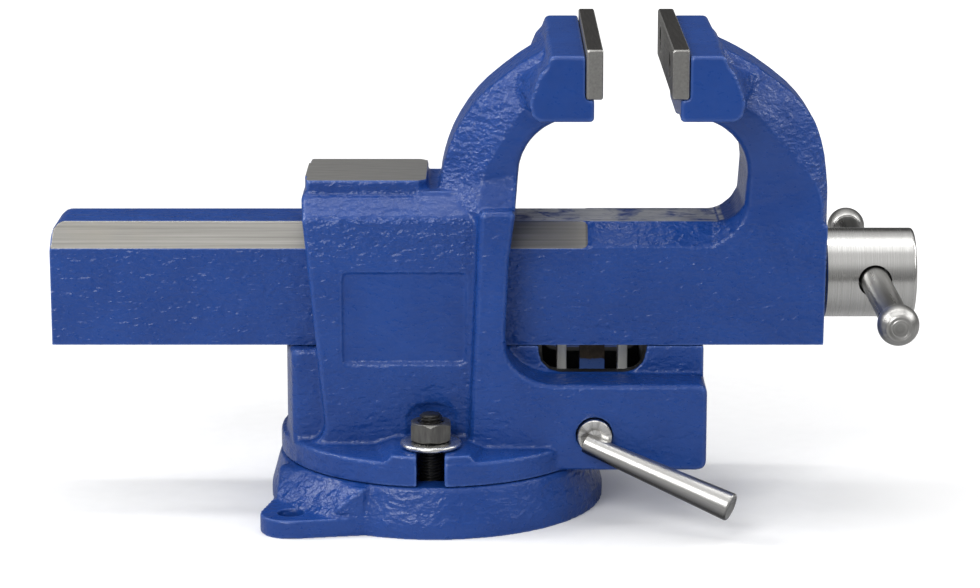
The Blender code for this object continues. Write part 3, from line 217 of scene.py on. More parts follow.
def marksOf(tree, look):
    # which way the tool marks run: along the piece or in rings round its axis; streaks out from the axis are
    # a painted reflection
    scale = look["marks"]
    if look["pattern"] == "along":
        return stretched(tree, scale)
    x, y, z = axesOf(tree, place(tree))
    if "centre" in look:
        x, y, z = minus(tree, x, look["centre"][0]), minus(tree, z, look["centre"][1]), y
    radius = distanceOf(tree, x, y)
    level = times(tree, z, scale[2])
    if look["pattern"] == "rings":
        return put(tree, "CombineXYZ", {0: times(tree, radius, scale[0]), 1: level}).outputs[0]
    safe = larger(tree, radius, look["leastRadius"])
    spokes = [times(tree, maths(tree, "DIVIDE", axis, safe), scale[0]) for axis in (x, y)]
    return put(tree, "CombineXYZ", {0: spokes[0], 1: spokes[1], 2: level}).outputs[0]


def steelShader(tree, finish):
    look = {**plainMetal, **finish}
    streak = noise(tree, marksOf(tree, look), 1.0, 4.0, 0.6)
    blotch = noise(tree, place(tree), look["blotchScale"], 3.0, 0.6)
    colour = mixColours(tree, soft(tree, streak, 0.3, 0.7), look["dark"], look["light"])
    stained = remap(tree, blotch, 0.45, 0.75, 0.0, look["stain"])
    colour = mixColours(tree, stained, colour, look.get("stainColour", look["dark"]))
    swing = look["glossSwing"]
    gloss = remap(tree, streak, 0.3, 0.7, look["roughness"] + swing, look["roughness"] - swing)
    bump = put(tree, "Bump", {"Strength": look["strength"], "Distance": look["markDepth"],
                              "Height": streak})
    return put(tree, "BsdfPrincipled", {
        "Base Color": colour, "Roughness": gloss, "Normal": bump.outputs[0], "Metallic": look["metallic"],
    })


# Finishes that several pieces share, with the light and dark ends of their tool marks
zincSteel = {"light": (0.80, 0.80, 0.78, 1), "dark": (0.62, 0.62, 0.60, 1), "marks": (300, 300, 300),
             "roughness": 0.28, "stain": 0.2, "strength": 0.1}
barSteel = {"light": (0.32, 0.316, 0.305, 1), "dark": (0.19, 0.187, 0.18, 1), "marks": (300, 300, 14),
            "roughness": 0.30, "stain": 0.2, "strength": 0.12}
blackSteel = {"light": (0.032, 0.031, 0.030, 1), "dark": (0.010, 0.010, 0.010, 1), "marks": (400, 400, 400),
              "roughness": 0.36, "stain": 0.2, "metallic": 0.6}
oiledSteel = {"light": (0.16, 0.125, 0.09, 1), "dark": (0.05, 0.038, 0.028, 1), "marks": (260, 260, 260),
              "roughness": 0.42, "stain": 0.4, "metallic": 0.7}

bluePaint = material("blue_cast_enamel", paintShader)
barFinish = material("drawn_rod_steel", steelShader, barSteel)
zincFinish = material("zinc_plated_steel", steelShader, zincSteel)
blackFinish = material("black_oxide_steel", steelShader, blackSteel)
oiledFinish = material("oiled_mechanism_steel", steelShader, oiledSteel)
print("shared materials ready:", len(bpy.data.materials))


# Mesh helpers

def addPiece(name, node, body, mesh, finish, angle, where=None):
    # a visible piece in place of a CAD node; bends sharper than the angle keep a hard edge
    mesh.polygons.foreach_set("use_smooth", [True] * len(mesh.polygons))
    mesh.set_sharp_from_angle(angle=math.radians(angle))
    piece = bpy.data.objects.new(name, mesh)
    bpy.context.scene.collection.objects.link(piece)
    if where is not None:
        piece.matrix_world = where
    mesh.materials.clear()
    mesh.materials.append(finish)
    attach(piece, body)
    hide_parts(node)


def carrierOf(mesh):
    carrier = bpy.data.objects.new("working", mesh)
    bpy.context.scene.collection.objects.link(carrier)
    return carrier


def modified(mesh, kind, **settings):
    carrier = carrierOf(mesh)
    step = carrier.modifiers.new("step", kind)
    for key, value in settings.items():
        setattr(step, key, value)
    bpy.context.view_layer.update()
    graph = bpy.context.evaluated_depsgraph_get()
    made = bpy.data.meshes.new_from_object(carrier.evaluated_get(graph))
    bpy.data.objects.remove(carrier)
    return made


def remeshed(node, voxel):
    # a fine even skin over the solid, so that its edges can be rounded as a casting's are
    return modified(parts[node].data.copy(), "REMESH", mode="VOXEL", voxel_size=voxel)


def combined(first, second, operation):
    other = carrierOf(second)
    mesh = modified(first, "BOOLEAN", operation=operation, object=other, solver="EXACT")
    bpy.data.objects.remove(other)
    return mesh


def meshOf(shape):
    mesh = bpy.data.meshes.new("shape")
    shape.to_mesh(mesh)
    shape.free()
    return mesh


def gathered(*meshes):
    # several closed shells in one mesh
    shape = bmesh.new()
    for mesh in meshes:
        shape.from_mesh(mesh)
    return meshOf(shape)


def faceMesh(corners, faces):
    mesh = bpy.data.meshes.new("shape")
    mesh.from_pydata(corners, [], faces)
    shape = bmesh.new()
    shape.from_mesh(mesh)
    bmesh.ops.recalc_face_normals(shape, faces=shape.faces)
    shape.to_mesh(mesh)
    shape.free()
    return mesh


def turned(profile, steps=96, offset=0.0):
    # a profile of (radius, height) in millimetres, turned round Z; few steps make a prism
    corners, rings = [], []
    for radius, height in profile:
        count = 1 if radius == 0 else steps
        rings.append(range(len(corners), len(corners) + count))
        for index in range(count):
            angle = 2 * math.pi * (index + offset) / steps
            corners.append((radius * mm * math.cos(angle), radius * mm * math.sin(angle), height * mm))
    faces = []
    closed = profile[0][0] > 0
    pairs = list(zip(rings, rings[1:])) + ([(rings[-1], rings[0])] if closed else [])
    for low, high in pairs:
        for index in range(steps):
            after = (index + 1) % steps
            loop = [low[index % len(low)], low[after % len(low)]]
            loop += [high[after % len(high)], high[index % len(high)]]
            loop = list(dict.fromkeys(loop))
            if len(loop) > 2:
                faces.append(loop)
    return faceMesh(corners, faces)


def bent(centre, radius, start, end, count):
    # points of an arc in a turned profile, angles in degrees
    points = []
    for index in range(count + 1):
        angle = math.radians(start + (end - start) * index / count)
        points.append((centre[0] + radius * math.cos(angle), centre[1] + radius * math.sin(angle)))
    return points


threadForm = {"steepness": 2.2, "shift": 0.6, "runOut": 0.3}


def threaded(low, high, thread):
    # a screw thread along Z with trapezoid flanks, run out at both ends
    crest, root, pitch, steps = thread["crest"], thread["root"], thread["pitch"], thread["steps"]
    rings = int(round((high - low) / pitch * thread["perTurn"]))
    heights = np.linspace(low, high, rings + 1)
    turns = np.arange(steps) / steps
    phase = (heights[:, None] / pitch - turns[None, :]) % 1.0
    wave = 1 - np.abs(2 * phase - 1)
    tooth = np.clip(threadForm["steepness"] * wave - threadForm["shift"], 0, 1)
    ends = np.clip(np.minimum(heights - low, high - heights) / thread["lead"], 0, 1)[:, None]
    under = root - threadForm["runOut"]
    radius = np.minimum(root + (crest - root) * tooth, under + (crest - under) * ends)
    angle = 2 * math.pi * turns[None, :] + 0 * radius
    level = heights[:, None] + 0 * radius
    corners = np.stack((radius * np.cos(angle), radius * np.sin(angle), level), -1) * mm
    corners = [tuple(corner) for corner in corners.reshape(-1, 3)]
    faces = []
    for ring in range(rings):
        for index in range(steps):
            after = (index + 1) % steps
            start = ring * steps
            faces.append((start + index, start + after, start + steps + after, start + steps + index))
    faces.append(tuple(range(steps)))
    faces.append(tuple(range(rings * steps, rings * steps + steps)))
    return faceMesh(corners, faces)


def blockMesh(low, high, edge):
    # a block with eased edges, corners in millimetres
    shape = bmesh.new()
    bmesh.ops.create_cube(shape, size=1.0)
    low, high = Vector(low) * mm, Vector(high) * mm
    for corner in shape.verts:
        share = corner.co + Vector((0.5, 0.5, 0.5))
        corner.co = low + Vector((high[axis] - low[axis]) * share[axis] for axis in range(3))
    bmesh.ops.bevel(shape, geom=list(shape.edges), offset=edge * mm, segments=3,
                    profile=0.5, affect="EDGES")
    return meshOf(shape)


def shifted(x, y, z):
    # a move in millimetres
    return Matrix.Translation((x * mm, y * mm, z * mm))


# Point helpers

def arrayOf(items, field, width, kind=float):
    data = np.zeros(len(items) * width, dtype=kind)
    items.foreach_get(field, data)
    return data.reshape(-1, width)


def vertexNormals(mesh):
    return arrayOf(mesh.vertex_normals, "vector", 3)


def movePoints(mesh, where):
    mesh.vertices.foreach_set("co", where.ravel())
    mesh.update()


def averaged(places, pairs, count):
    # the mean place of each point's neighbours
    total = np.zeros_like(places)
    for axis in range(places.shape[1]):
        total[:, axis] = (np.bincount(pairs[:, 0], places[pairs[:, 1], axis], count)
                          + np.bincount(pairs[:, 1], places[pairs[:, 0], axis], count))
    shares = np.bincount(pairs[:, 0], minlength=count) + np.bincount(pairs[:, 1], minlength=count)
    return total / np.maximum(shares, 1)[:, None]


def between(values, low, high):
    return (values > low) & (values < high)


def faded(values, low, high):
    return np.clip((values - low) / (high - low), 0.0, 1.0)


def softened(mesh, rounds, locks, melt=None, meltRounds=0):
    # rounds the edges and fills the corners; the machined planes stay flat
    where = arrayOf(mesh.vertices, "co", 3)
    pairs = arrayOf(mesh.edges, "vertices", 2, np.int64)
    count = len(where)
    held = [(lock(where), axis, level) for lock, axis, level in locks]
    extra = melt(where) if melt else None
    for turn in range(rounds + meltRounds):
        moved = where + (averaged(where, pairs, count) - where) * 0.5
        if turn >= rounds:
            moved = where + (moved - where) * extra[:, None]
        for mask, axis, level in held:
            off = moved[mask] @ axis - level
            moved[mask] -= off[:, None] * axis
        where = moved
    movePoints(mesh, where)
    return where


def setRough(mesh, values):
    layer = mesh.attributes.new("rough", "FLOAT", "POINT")
    layer.data.foreach_set("value", values.astype(np.float32))


def flatLock(axisIndex, level, reach):
    # points on one level plane stay on it
    axis = np.zeros(3)
    axis[axisIndex] = 1.0

    def lock(where):
        return np.abs(where[:, axisIndex] - level) < reach
    return lock, axis, level


# Castings: how fine the skins are, in metres, and how far their edges and head roots are rounded
casting = {"voxel": 0.0008, "rounds": 2, "meltRounds": 5, "angle": 60, "lockReach": 0.00035}

# where a jaw head runs into its arm, in millimetres: start and full height, flat top, width
headRoot = {"low": 168, "full": 172, "top": 206.2, "topFade": (0.2, 3), "halfWidth": 60, "sideFade": 4,
            "share": 0.9}


def headMelt(where, inside):
    # smooths that run, away from the milled seat and the flat top
    x, y, z = where.T / mm
    height = faded(z, headRoot["low"], headRoot["full"]) * faded(headRoot["top"] - z, *headRoot["topFade"])
    aside = faded(headRoot["halfWidth"] - np.abs(y), 0, headRoot["sideFade"])
    return inside * height * aside * headRoot["share"]


# Moving jaw, in millimetres: its bar has two milled bevels with a rounded end and a top rubbed pale
milled = {"light": (0.29, 0.283, 0.265, 1), "dark": (0.165, 0.16, 0.148, 1), "marks": (9, 900, 900),
          "roughness": 0.40, "blotchScale": 45, "stain": 0.4, "stainColour": (0.25, 0.235, 0.20, 1),
          "metallic": 0.85}
wornTop = {"light": (0.95, 0.96, 0.98, 1), "dark": (0.50, 0.52, 0.57, 1), "marks": (30, 500, 30),
           "roughness": 0.38, "stain": 0.5, "stainColour": (0.06, 0.09, 0.20, 1), "metallic": 0.7}
bareStrip = {"endX": 66.3, "halfWidth": 7.15, "cornerRadius": 3.0, "middle": 72.83, "fade": 0.12,
             "facing": (0.86, 0.90)}
wornStrip = {"startX": 34, "endX": 142, "startFade": 2, "endFade": 12, "edge": (15.2, 14.6),
             "edgeLine": (12.6, 13.4), "level": (128.6, 127.8), "facing": (0.93, 0.97),
             "patchScale": 90, "patches": (0.34, 0.50)}
movingJaw = {"barTop": 127, "bevelSide": 24, "bevelHeight": 116.7, "bevelEnd": 67, "bevelLow": 100,
             "meltFrom": (103, 106), "skin": 0.34, "armZ": 128, "armX": 95, "armSkin": (0.10, 0.55),
             "armFacing": (0.15, 0.6), "headZ": 178, "headFacing": 0.3}
slope = 1 / math.sqrt(2)


def bareShare(tree, x, side, z, normal):
    # a rounded rectangle on each bevel, by its distance inside or outside the outline
    radius = bareStrip["cornerRadius"]
    span = times(tree, minus(tree, z, side), slope)
    across = maths(tree, "ABSOLUTE", minus(tree, span, bareStrip["middle"]))
    ahead = minus(tree, x, bareStrip["endX"] - radius)
    aside = minus(tree, across, bareStrip["halfWidth"] - radius)
    corner = distanceOf(tree, larger(tree, ahead, 0.0), larger(tree, aside, 0.0))
    inner = smaller(tree, larger(tree, ahead, aside), 0.0)
    distance = minus(tree, plus(tree, corner, inner), radius)
    sloped = times(tree, plus(tree, maths(tree, "ABSOLUTE", normal[1]), normal[2]), slope)
    return times(tree, soft(tree, distance, bareStrip["fade"], -bareStrip["fade"]),
                 soft(tree, sloped, *bareStrip["facing"]))


def rubbedShare(tree, x, side, z, normal):
    start, end = wornStrip["startX"], wornStrip["endX"]
    patches = noise(tree, place(tree), wornStrip["patchScale"], 3, 0.6, 0.5)
    level = times(tree, soft(tree, normal[2], *wornStrip["facing"]), soft(tree, z, *wornStrip["level"]))
    length = times(tree, soft(tree, x, start, start + wornStrip["startFade"]),
                   soft(tree, x, end, end - wornStrip["endFade"]))
    worn = larger(tree, soft(tree, side, *wornStrip["edgeLine"]),
                  soft(tree, patches, *wornStrip["patches"]))
    return times(tree, level, length, soft(tree, side, *wornStrip["edge"]), worn)


def jawShader(tree):
    x, y, z = inMillimetres(tree)
    side = maths(tree, "ABSOLUTE", y)
    normal = facingOf(tree)
    rubbed = rubbedShare(tree, x, side, z, normal)
    bare = bareShare(tree, x, side, z, normal)
    painted = mixShaders(tree, rubbed, paintShader(tree), steelShader(tree, wornTop))
    return mixShaders(tree, bare, painted, steelShader(tree, milled))


def bevelLock(way):
    # holds one milled bevel flat
    axis = np.array((0.0, way, 1.0)) * slope
    level = (movingJaw["bevelSide"] + movingJaw["bevelHeight"]) * slope * mm
    end, low = movingJaw["bevelEnd"] * mm, movingJaw["bevelLow"] * mm

    def lock(where):
        near = np.abs(where @ axis - level) < casting["lockReach"]
        return near & (where[:, 0] < end) & (where[:, 2] > low)
    return lock, axis, level


def buildMovingJaw():
    mesh = remeshed("moving_jaw", casting["voxel"])
    locks = [flatLock(2, movingJaw["barTop"] * mm, casting["lockReach"]), bevelLock(-1), bevelLock(1)]

    def melt(where):
        return headMelt(where, faded(where[:, 0] / mm, *movingJaw["meltFrom"]))
    where = softened(mesh, casting["rounds"], locks, melt, casting["meltRounds"])
    x, y, z = where.T / mm
    outward = vertexNormals(mesh)[:, 0]
    least, more = movingJaw["armSkin"]
    rough = np.full(len(x), movingJaw["skin"])
    arm = (z > movingJaw["armZ"]) & (x > movingJaw["armX"])
    rough = np.where(arm, least + more * faded(outward, *movingJaw["armFacing"]), rough)
    head = (z > movingJaw["headZ"]) & (outward < movingJaw["headFacing"])
    setRough(mesh, np.where(head, 0.0, rough))
    finish = material("blue_enamel_with_milled_bevels", jawShader)
    addPiece("moving_jaw_casting", "moving_jaw", "jaw", mesh, finish, casting["angle"])


# Body, in millimetres: the anvil's face is ground bare, and the mechanism's chamber is painted near black as
# shade
groundTop = {"light": (0.42, 0.413, 0.40, 1), "dark": (0.27, 0.267, 0.256, 1), "marks": (60, 900, 60),
             "roughness": 0.45, "stain": 0.2, "metallic": 0.85}
# near-black metal that stands for the shade in the chamber: painted shade
paintedChamberShade = {"light": (0.020, 0.019, 0.018, 1), "dark": (0.008, 0.008, 0.008, 1), "marks": (300, 300, 300),
           "roughness": 0.55, "stain": 0.3, "metallic": 0.3}
anvil = {"top": 147.2, "rightX": -3.2, "below": (0.35, 0.2), "above": (0.6, 0.4), "edge": 0.3,
         "facing": (0.90, 0.95)}
chamber = {"side": (23.0, 22.4), "top": (73.3, 73.0), "bottom": (47.0, 49.0), "left": (44.2, 44.8),
           "right": (92.9, 92.3)}
panel = {"middle": (-13.35, 88.7), "halfSpan": (27.15, 20.5), "outside": 35, "depth": 0.55,
         "wall": (0.2, 0.9), "facing": 0.8, "smoother": 0.15}
viseBody = {"meltTo": (68, 3), "skin": 0.30, "armZ": 134, "armX": -5, "armSkin": (0.12, 0.60),
            "armFacing": (0.1, 0.6), "headZ": 178, "headFacing": -0.3, "shoulder": (110, 133),
            "shoulderX": 16, "shoulderSkin": (0.26, 0.35), "shoulderFade": (110, 120),
            "footZ": 37, "footSkin": 0.22}

# rounding fills these hidden corners, so the metal is set back there:
# the half nut's well, the well's floor and the lower corners of the bar's tunnel
reliefs = [{"x": (61, 76.5), "y": (-1, 9), "z": (25, 70), "depth": 0.40},
           {"x": (61, 76.5), "y": (-1, 9), "z": (24, 33), "depth": 0.60},
           {"x": (-56, 36), "y": (22.8, 25.6), "z": (72.4, 76), "depth": 0.50}]


def bodyShader(tree):
    x, y, z = inMillimetres(tree)
    top, right = anvil["top"], anvil["rightX"]
    low, full = anvil["below"]
    high, ends = anvil["above"]
    bare = times(tree, soft(tree, z, top - low, top - full), soft(tree, z, top + high, top + ends),
                 soft(tree, x, right + anvil["edge"], right),
                 soft(tree, facingOf(tree)[2], *anvil["facing"]))
    # inside the chamber the enamel gives way to that near-black metal, as painted shade
    inside = times(tree, soft(tree, maths(tree, "ABSOLUTE", y), *chamber["side"]),
                   soft(tree, z, *chamber["top"]), soft(tree, z, *chamber["bottom"]),
                   soft(tree, x, *chamber["left"]), soft(tree, x, *chamber["right"]))
    painted = mixShaders(tree, inside, paintShader(tree), steelShader(tree, paintedChamberShade))
    return mixShaders(tree, bare, painted, steelShader(tree, groundTop))


def bodyRoughness(x, z, outward):
    least, more = viseBody["armSkin"]
    rough = np.full(len(x), viseBody["skin"])
    arm = (z > viseBody["armZ"]) & (x > viseBody["armX"])
    rough = np.where(arm, least + more * faded(-outward, *viseBody["armFacing"]), rough)
    head = (z > viseBody["headZ"]) & (outward > viseBody["headFacing"])
    rough = np.where(head, 0.0, rough)
    least, more = viseBody["shoulderSkin"]
    shoulder = between(z, *viseBody["shoulder"]) & (x < viseBody["shoulderX"])
    rough = np.where(shoulder, least + more * faded(z, *viseBody["shoulderFade"]), rough)
    return np.where(z < viseBody["footZ"], viseBody["footSkin"], rough)


def panelDepth(x, y, z, facing):
    # the plain panel is sunk a little deeper, so that its frame catches the light
    (middleX, middleZ), (halfX, halfZ) = panel["middle"], panel["halfSpan"]
    inward = np.minimum(halfX - np.abs(x - middleX), halfZ - np.abs(z - middleZ))
    onWall = (np.abs(facing) > panel["facing"]) * (np.abs(y) > panel["outside"])
    return faded(inward, *panel["wall"]) * onWall


def buildBody():
    mesh = remeshed("vise_body", casting["voxel"])
    locks = [flatLock(2, anvil["top"] * mm, casting["lockReach"])]
    meltEnd, meltFade = viseBody["meltTo"]

    def melt(where):
        return headMelt(where, faded(meltEnd - where[:, 0] / mm, 0, meltFade))
    where = softened(mesh, casting["rounds"], locks, melt, casting["meltRounds"])
    x, y, z = where.T / mm
    normal = vertexNormals(mesh)
    for relief in reliefs:
        near = between(x, *relief["x"]) & between(np.abs(y), *relief["y"]) & between(z, *relief["z"])
        where[near] -= normal[near] * relief["depth"] * mm
    sunk = panelDepth(x, y, z, normal[:, 1])
    where[:, 1] -= np.sign(y) * sunk * panel["depth"] * mm
    movePoints(mesh, where)
    setRough(mesh, bodyRoughness(x, z, normal[:, 0]) - panel["smoother"] * sunk)
    finish = material("blue_enamel_with_ground_anvil_and_chamber_shade", bodyShader)
    addPiece("body_casting", "vise_body", "body", mesh, finish, casting["angle"])


# Base, in millimetres: smooth inside its ring, rougher round the rim
swivelBase = {"rim": (73, 78), "rimLow": (7.5, 9), "skin": 0.25, "rimSkin": 0.40}


def buildBase():
    mesh = remeshed("swivel_base", casting["voxel"])
    where = softened(mesh, casting["rounds"], [flatLock(2, 0.0, casting["lockReach"])])
    x, y, z = where.T / mm
    outside = faded(np.hypot(x, y), *swivelBase["rim"]) * faded(z, *swivelBase["rimLow"])
    setRough(mesh, swivelBase["skin"] + swivelBase["rimSkin"] * outside)
    addPiece("base_casting", "swivel_base", "base", mesh, bluePaint, casting["angle"])


buildBody()
buildMovingJaw()
buildBase()
print("castings ready")


# Jaw plates: diamond serrations on the gripping face, clear of the edges and screws
insertSteel = {"light": (0.42, 0.415, 0.40, 1), "dark": (0.27, 0.265, 0.255, 1), "marks": (900, 60, 900),
               "roughness": 0.40, "stain": 0.3, "metallic": 0.9}
blackTop = {"light": (0.038, 0.036, 0.033, 1), "dark": (0.019, 0.018, 0.017, 1), "marks": (900, 60, 900),
            "roughness": 0.48, "stain": 0.3, "metallic": 0.5}
insert = {"voxel": 0.00055, "rounds": 1, "lockReach": 0.0002, "angle": 40,   # in metres, then millimetres
          "pitch": 2.2, "depth": 0.40, "steepness": 1.5, "margin": (0.6, 1.0),
          "screwY": 38, "screwZ": 199.6, "screwClear": 5.6, "paintedHoleShade": (5.9, 5.5),
          "blackFacing": (0.80, 0.95)}


def insertShader(tree):
    # ground on its ends and blackened along its top edge; round its screw holes it is painted black as shade
    x, y, z = inMillimetres(tree)
    aside = minus(tree, maths(tree, "ABSOLUTE", y), insert["screwY"])
    away = distanceOf(tree, aside, minus(tree, z, insert["screwZ"]))
    # dark on the top face, and painted black round the screw holes as shade
    dark = larger(tree, soft(tree, facingOf(tree)[2], *insert["blackFacing"]),
                  soft(tree, away, *insert["paintedHoleShade"]))
    return mixShaders(tree, dark, steelShader(tree, insertSteel), steelShader(tree, blackTop))


def serrated(y, z):
    # two crossed rows of V grooves: 1 along their floors, 0 on the diamonds between them
    waves = [np.abs(2 * (((y + way * z) / insert["pitch"]) % 1.0) - 1) for way in (-1, 1)]
    return 1 - np.clip(insert["steepness"] * np.minimum(*waves), 0, 1)


def buildInsert(label, body, way, finish):
    node = label + "_jaw_insert"
    mesh = remeshed(node, insert["voxel"])
    low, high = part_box(node)
    reach = insert["lockReach"]
    locks = [flatLock(axis, corner[axis], reach) for axis in range(3) for corner in (low, high)]
    where = softened(mesh, insert["rounds"], locks)
    gripX = (high if way > 0 else low)[0]
    x, y, z = where.T / mm
    onGrip = np.abs(x - gripX / mm) < reach / mm
    inner = np.minimum(high[1] / mm - np.abs(y), np.minimum(z - low[2] / mm, high[2] / mm - z))
    clear = np.hypot(np.abs(y) - insert["screwY"], z - insert["screwZ"]) - insert["screwClear"]
    share = faded(np.minimum(inner, clear), *insert["margin"]) * onGrip
    where[:, 0] -= way * insert["depth"] * mm * serrated(y, z) * share
    movePoints(mesh, where)
    addPiece(label + "_serrated_plate", node, body, mesh, finish, insert["angle"])


insertFinish = material("hardened_insert_steel", insertShader)
buildInsert("fixed", "body", 1, insertFinish)
buildInsert("moving", "jaw", -1, insertFinish)
print("jaw plates ready")


# Spindle: cut thread, shank and round head with the handle's cross hole, in millimetres
turnedSteel = {"light": (0.66, 0.655, 0.64, 1), "dark": (0.50, 0.495, 0.48, 1), "marks": (40, 40, 1500),
               "pattern": "rings", "roughness": 0.24, "stain": 0.15, "strength": 0.10}
spindle = {
    "height": 101.0, "angle": 32,
    "headStart": 170.8, "headEnd": 210.7, "headRadius": 19.7,
    "backEase": 0.8,
    "chamfer": 1.5, "chamferTurn": 75, "chamferStart": 0.2,
    "rim": (3.2, 3.6), "boss": (7.2, 6.9), "faceStep": 0.25,          # rings on the head's face
    "centreHole": ((3.4, 0), (2.2, 1.4), (0, 2.6)),                   # radius and depth
    "holeX": 192.2, "holeRadius": 6.9,
    "holeStraight": 17.6, "flare": 0.55, "flareEnd": 0.3, "cutter": (3, 24),
    "shankRadius": 12.5, "neckRadius": 8.5, "neckLength": 4,
    "shoulderEase": 0.5, "shoulder": (0.8, 1.3), "overlap": 0.1,
    "threadStart": -150.0, "threadEnd": 128.0,
    "thread": {"crest": 11.0, "root": 8.6, "pitch": 5.0, "steps": 56, "perTurn": 12, "lead": 1.6},
}


def mirrored(half):
    # a turned profile that is the same on both sides of height 0
    return [(radius, -height) for radius, height in reversed(half)] + half


def spindleHead():
    start, end, radius = spindle["headStart"], spindle["headEnd"], spindle["headRadius"]
    ease, chamfer, step = spindle["backEase"], spindle["chamfer"], spindle["faceStep"]
    rim, boss = spindle["rim"], spindle["boss"]
    profile = [(0, start), (radius - ease, start), (radius, start + ease)]
    profile += [(radius, end - chamfer - spindle["chamferStart"])]
    profile += bent((radius - chamfer, end - chamfer), chamfer, 0, spindle["chamferTurn"], 5)
    profile += [(radius - rim[0], end), (radius - rim[1], end - step)]
    profile += [(boss[0], end - step), (boss[1], end)]
    profile += [(size, end - depth) for size, depth in spindle["centreHole"]]
    hole, (wider, reach) = spindle["holeRadius"], spindle["cutter"]
    cutter = turned(mirrored([(hole, spindle["holeStraight"]),
                              (hole + spindle["flare"], radius + spindle["flareEnd"]),
                              (hole + wider, reach), (0, reach)]))
    cutter.transform(shifted(0, 0, spindle["holeX"]) @ Matrix.Rotation(-math.pi / 2, 4, "X"))
    return combined(turned(profile, 128), cutter, "DIFFERENCE")


def spindleShank():
    start, end = spindle["threadEnd"], spindle["headStart"] + spindle["overlap"]
    neck, radius = spindle["neckRadius"], spindle["shankRadius"]
    low, high = spindle["shoulder"]
    return turned([(0, start - spindle["neckLength"]), (neck, start - spindle["neckLength"]), (neck, start),
                   (radius - spindle["shoulderEase"], start + low), (radius, start + high),
                   (radius, end), (0, end)])


def buildSpindle():
    thread = threaded(spindle["threadStart"], spindle["threadEnd"], spindle["thread"])
    axis = shifted(0, 0, spindle["height"]) @ Matrix.Rotation(math.pi / 2, 4, "Y")
    finish = material("turned_steel", steelShader, turnedSteel)
    mesh = gathered(spindleHead(), spindleShank(), thread)
    addPiece("turned_spindle", "spindle", "screw", mesh, finish, spindle["angle"], axis)


# Sliding handle: a drawn rod with a turned ball end on each side, in millimetres
ballSteel = {"light": (0.50, 0.495, 0.48, 1), "dark": (0.25, 0.246, 0.237, 1), "marks": (1500, 1500, 1500),
             "pattern": "rings", "roughness": 0.37, "stain": 0.2, "strength": 0.25}
handle = {
    "x": 192.2, "z": 101.0, "steps": 72, "rodAngle": 30, "ballAngle": 28,
    "rodRadius": 6.25, "rodEnd": 94.0, "groove": 0.35, "grooveSpan": (1.6, 1.2, 0.7, 0.3),
    "pegRadius": 4.2, "pegLength": 5,
    "reach": 100.0, "ballRadius": 8.7, "ballArc": (-42, 44),
    "socketRadius": 4.25, "socketEnd": 0.8, "socketStart": -4.3, "collar": (4.6, -5.4),
    "face": [(5.9, 6.75), (5.5, 7.15), (4.9, 7.40), (4.5, 7.30),      # radius and height of its rings
             (3.7, 7.05), (3.3, 7.22), (2.0, 7.05), (0, 6.95)],
}


def handleRod():
    radius, end, peg = handle["rodRadius"], handle["rodEnd"], handle["pegRadius"]
    tip = end + handle["pegLength"]
    depths = (0, handle["groove"], handle["groove"], 0)
    half = [(radius - depth, end - away) for depth, away in zip(depths, handle["grooveSpan"])]
    return turned(mirrored(half + [(peg, end), (peg, tip), (0, tip)]), handle["steps"])


def ballEnd():
    socket = handle["socketRadius"]
    profile = [(socket, handle["socketStart"]), handle["collar"]]
    profile += bent((0, 0), handle["ballRadius"], *handle["ballArc"], 16)
    profile += [*handle["face"], (0, handle["socketEnd"]), (socket, handle["socketEnd"])]
    return turned(profile, handle["steps"])


def buildHandle():
    axis = shifted(handle["x"], 0, handle["z"]) @ Matrix.Rotation(-math.pi / 2, 4, "X")
    addPiece("sliding_rod", "tommy_bar", "handle", handleRod(), barFinish,
             handle["rodAngle"], axis)
    finish = material("ball_end_steel", steelShader, ballSteel)
    for label, side in sides:
        turn = shifted(handle["x"], side * handle["reach"], handle["z"])
        turn = turn @ Matrix.Rotation(-side * math.pi / 2, 4, "X")
        addPiece("ball_end_" + label, "tommy_ball_" + label, "handle", ballEnd(), finish,
                 handle["ballAngle"], turn)


buildSpindle()
buildHandle()
print("spindle and handle ready")


# Release lever: a taper-ground pin in the cross shaft's end, in millimetres
leverSteel = {"light": (0.52, 0.515, 0.50, 1), "dark": (0.36, 0.355, 0.345, 1), "marks": (250, 250, 12),
              "roughness": 0.34, "stain": 0.12, "strength": 0.06}
paintedUndersideShade = {"light": (0.12, 0.12, 0.12, 1), "dark": (0.06, 0.06, 0.06, 1), "marks": (250, 250, 12),
                  "roughness": 0.20, "stain": 0.2, "strength": 0.06}
lever = {"entry": (67.7, -48.5, 34.7), "tip": (126.5, -75.0, 14.8), "socket": 2.5,
         "rootRadius": 4.2, "tipRadius": 6.2, "ease": 0.9, "tipRing": (1.6, 1.9), "tipStep": 0.12,
         "easeArc": (15, 90), "angle": 30,
         "underside": (0.05, -0.55)}   # how far the surface faces up, where the painted shade starts and is full


def leverShader(tree):
    # polished above, with its underside painted dark as shade
    facing = axesOf(tree, put(tree, "NewGeometry").outputs["Normal"])[2]
    below = soft(tree, facing, *lever["underside"])
    return mixShaders(tree, below, steelShader(tree, leverSteel), steelShader(tree, paintedUndersideShade))


def buildLever():
    entry, tip = Vector(lever["entry"]) * mm, Vector(lever["tip"]) * mm
    start = entry + (entry - tip).normalized() * lever["socket"] * mm
    length = (tip - start).length / mm
    root, wide, ease = lever["rootRadius"], lever["tipRadius"], lever["ease"]
    outer, inner = lever["tipRing"]
    dish = length - lever["tipStep"]
    profile = [(0, 0), (root, 0), (wide, length - ease)]
    profile += bent((wide - ease, length - ease), ease, *lever["easeArc"], 4)
    profile += [(wide - outer, length), (wide - inner, dish), (0, dish)]
    axis = Matrix.Translation(start) @ (tip - start).to_track_quat("Z", "Y").to_matrix().to_4x4()
    finish = material("polished_lever_steel_with_painted_underside_shade", leverShader)
    addPiece("tapered_lever", "release_lever", "release", turned(profile), finish,
             lever["angle"], axis)
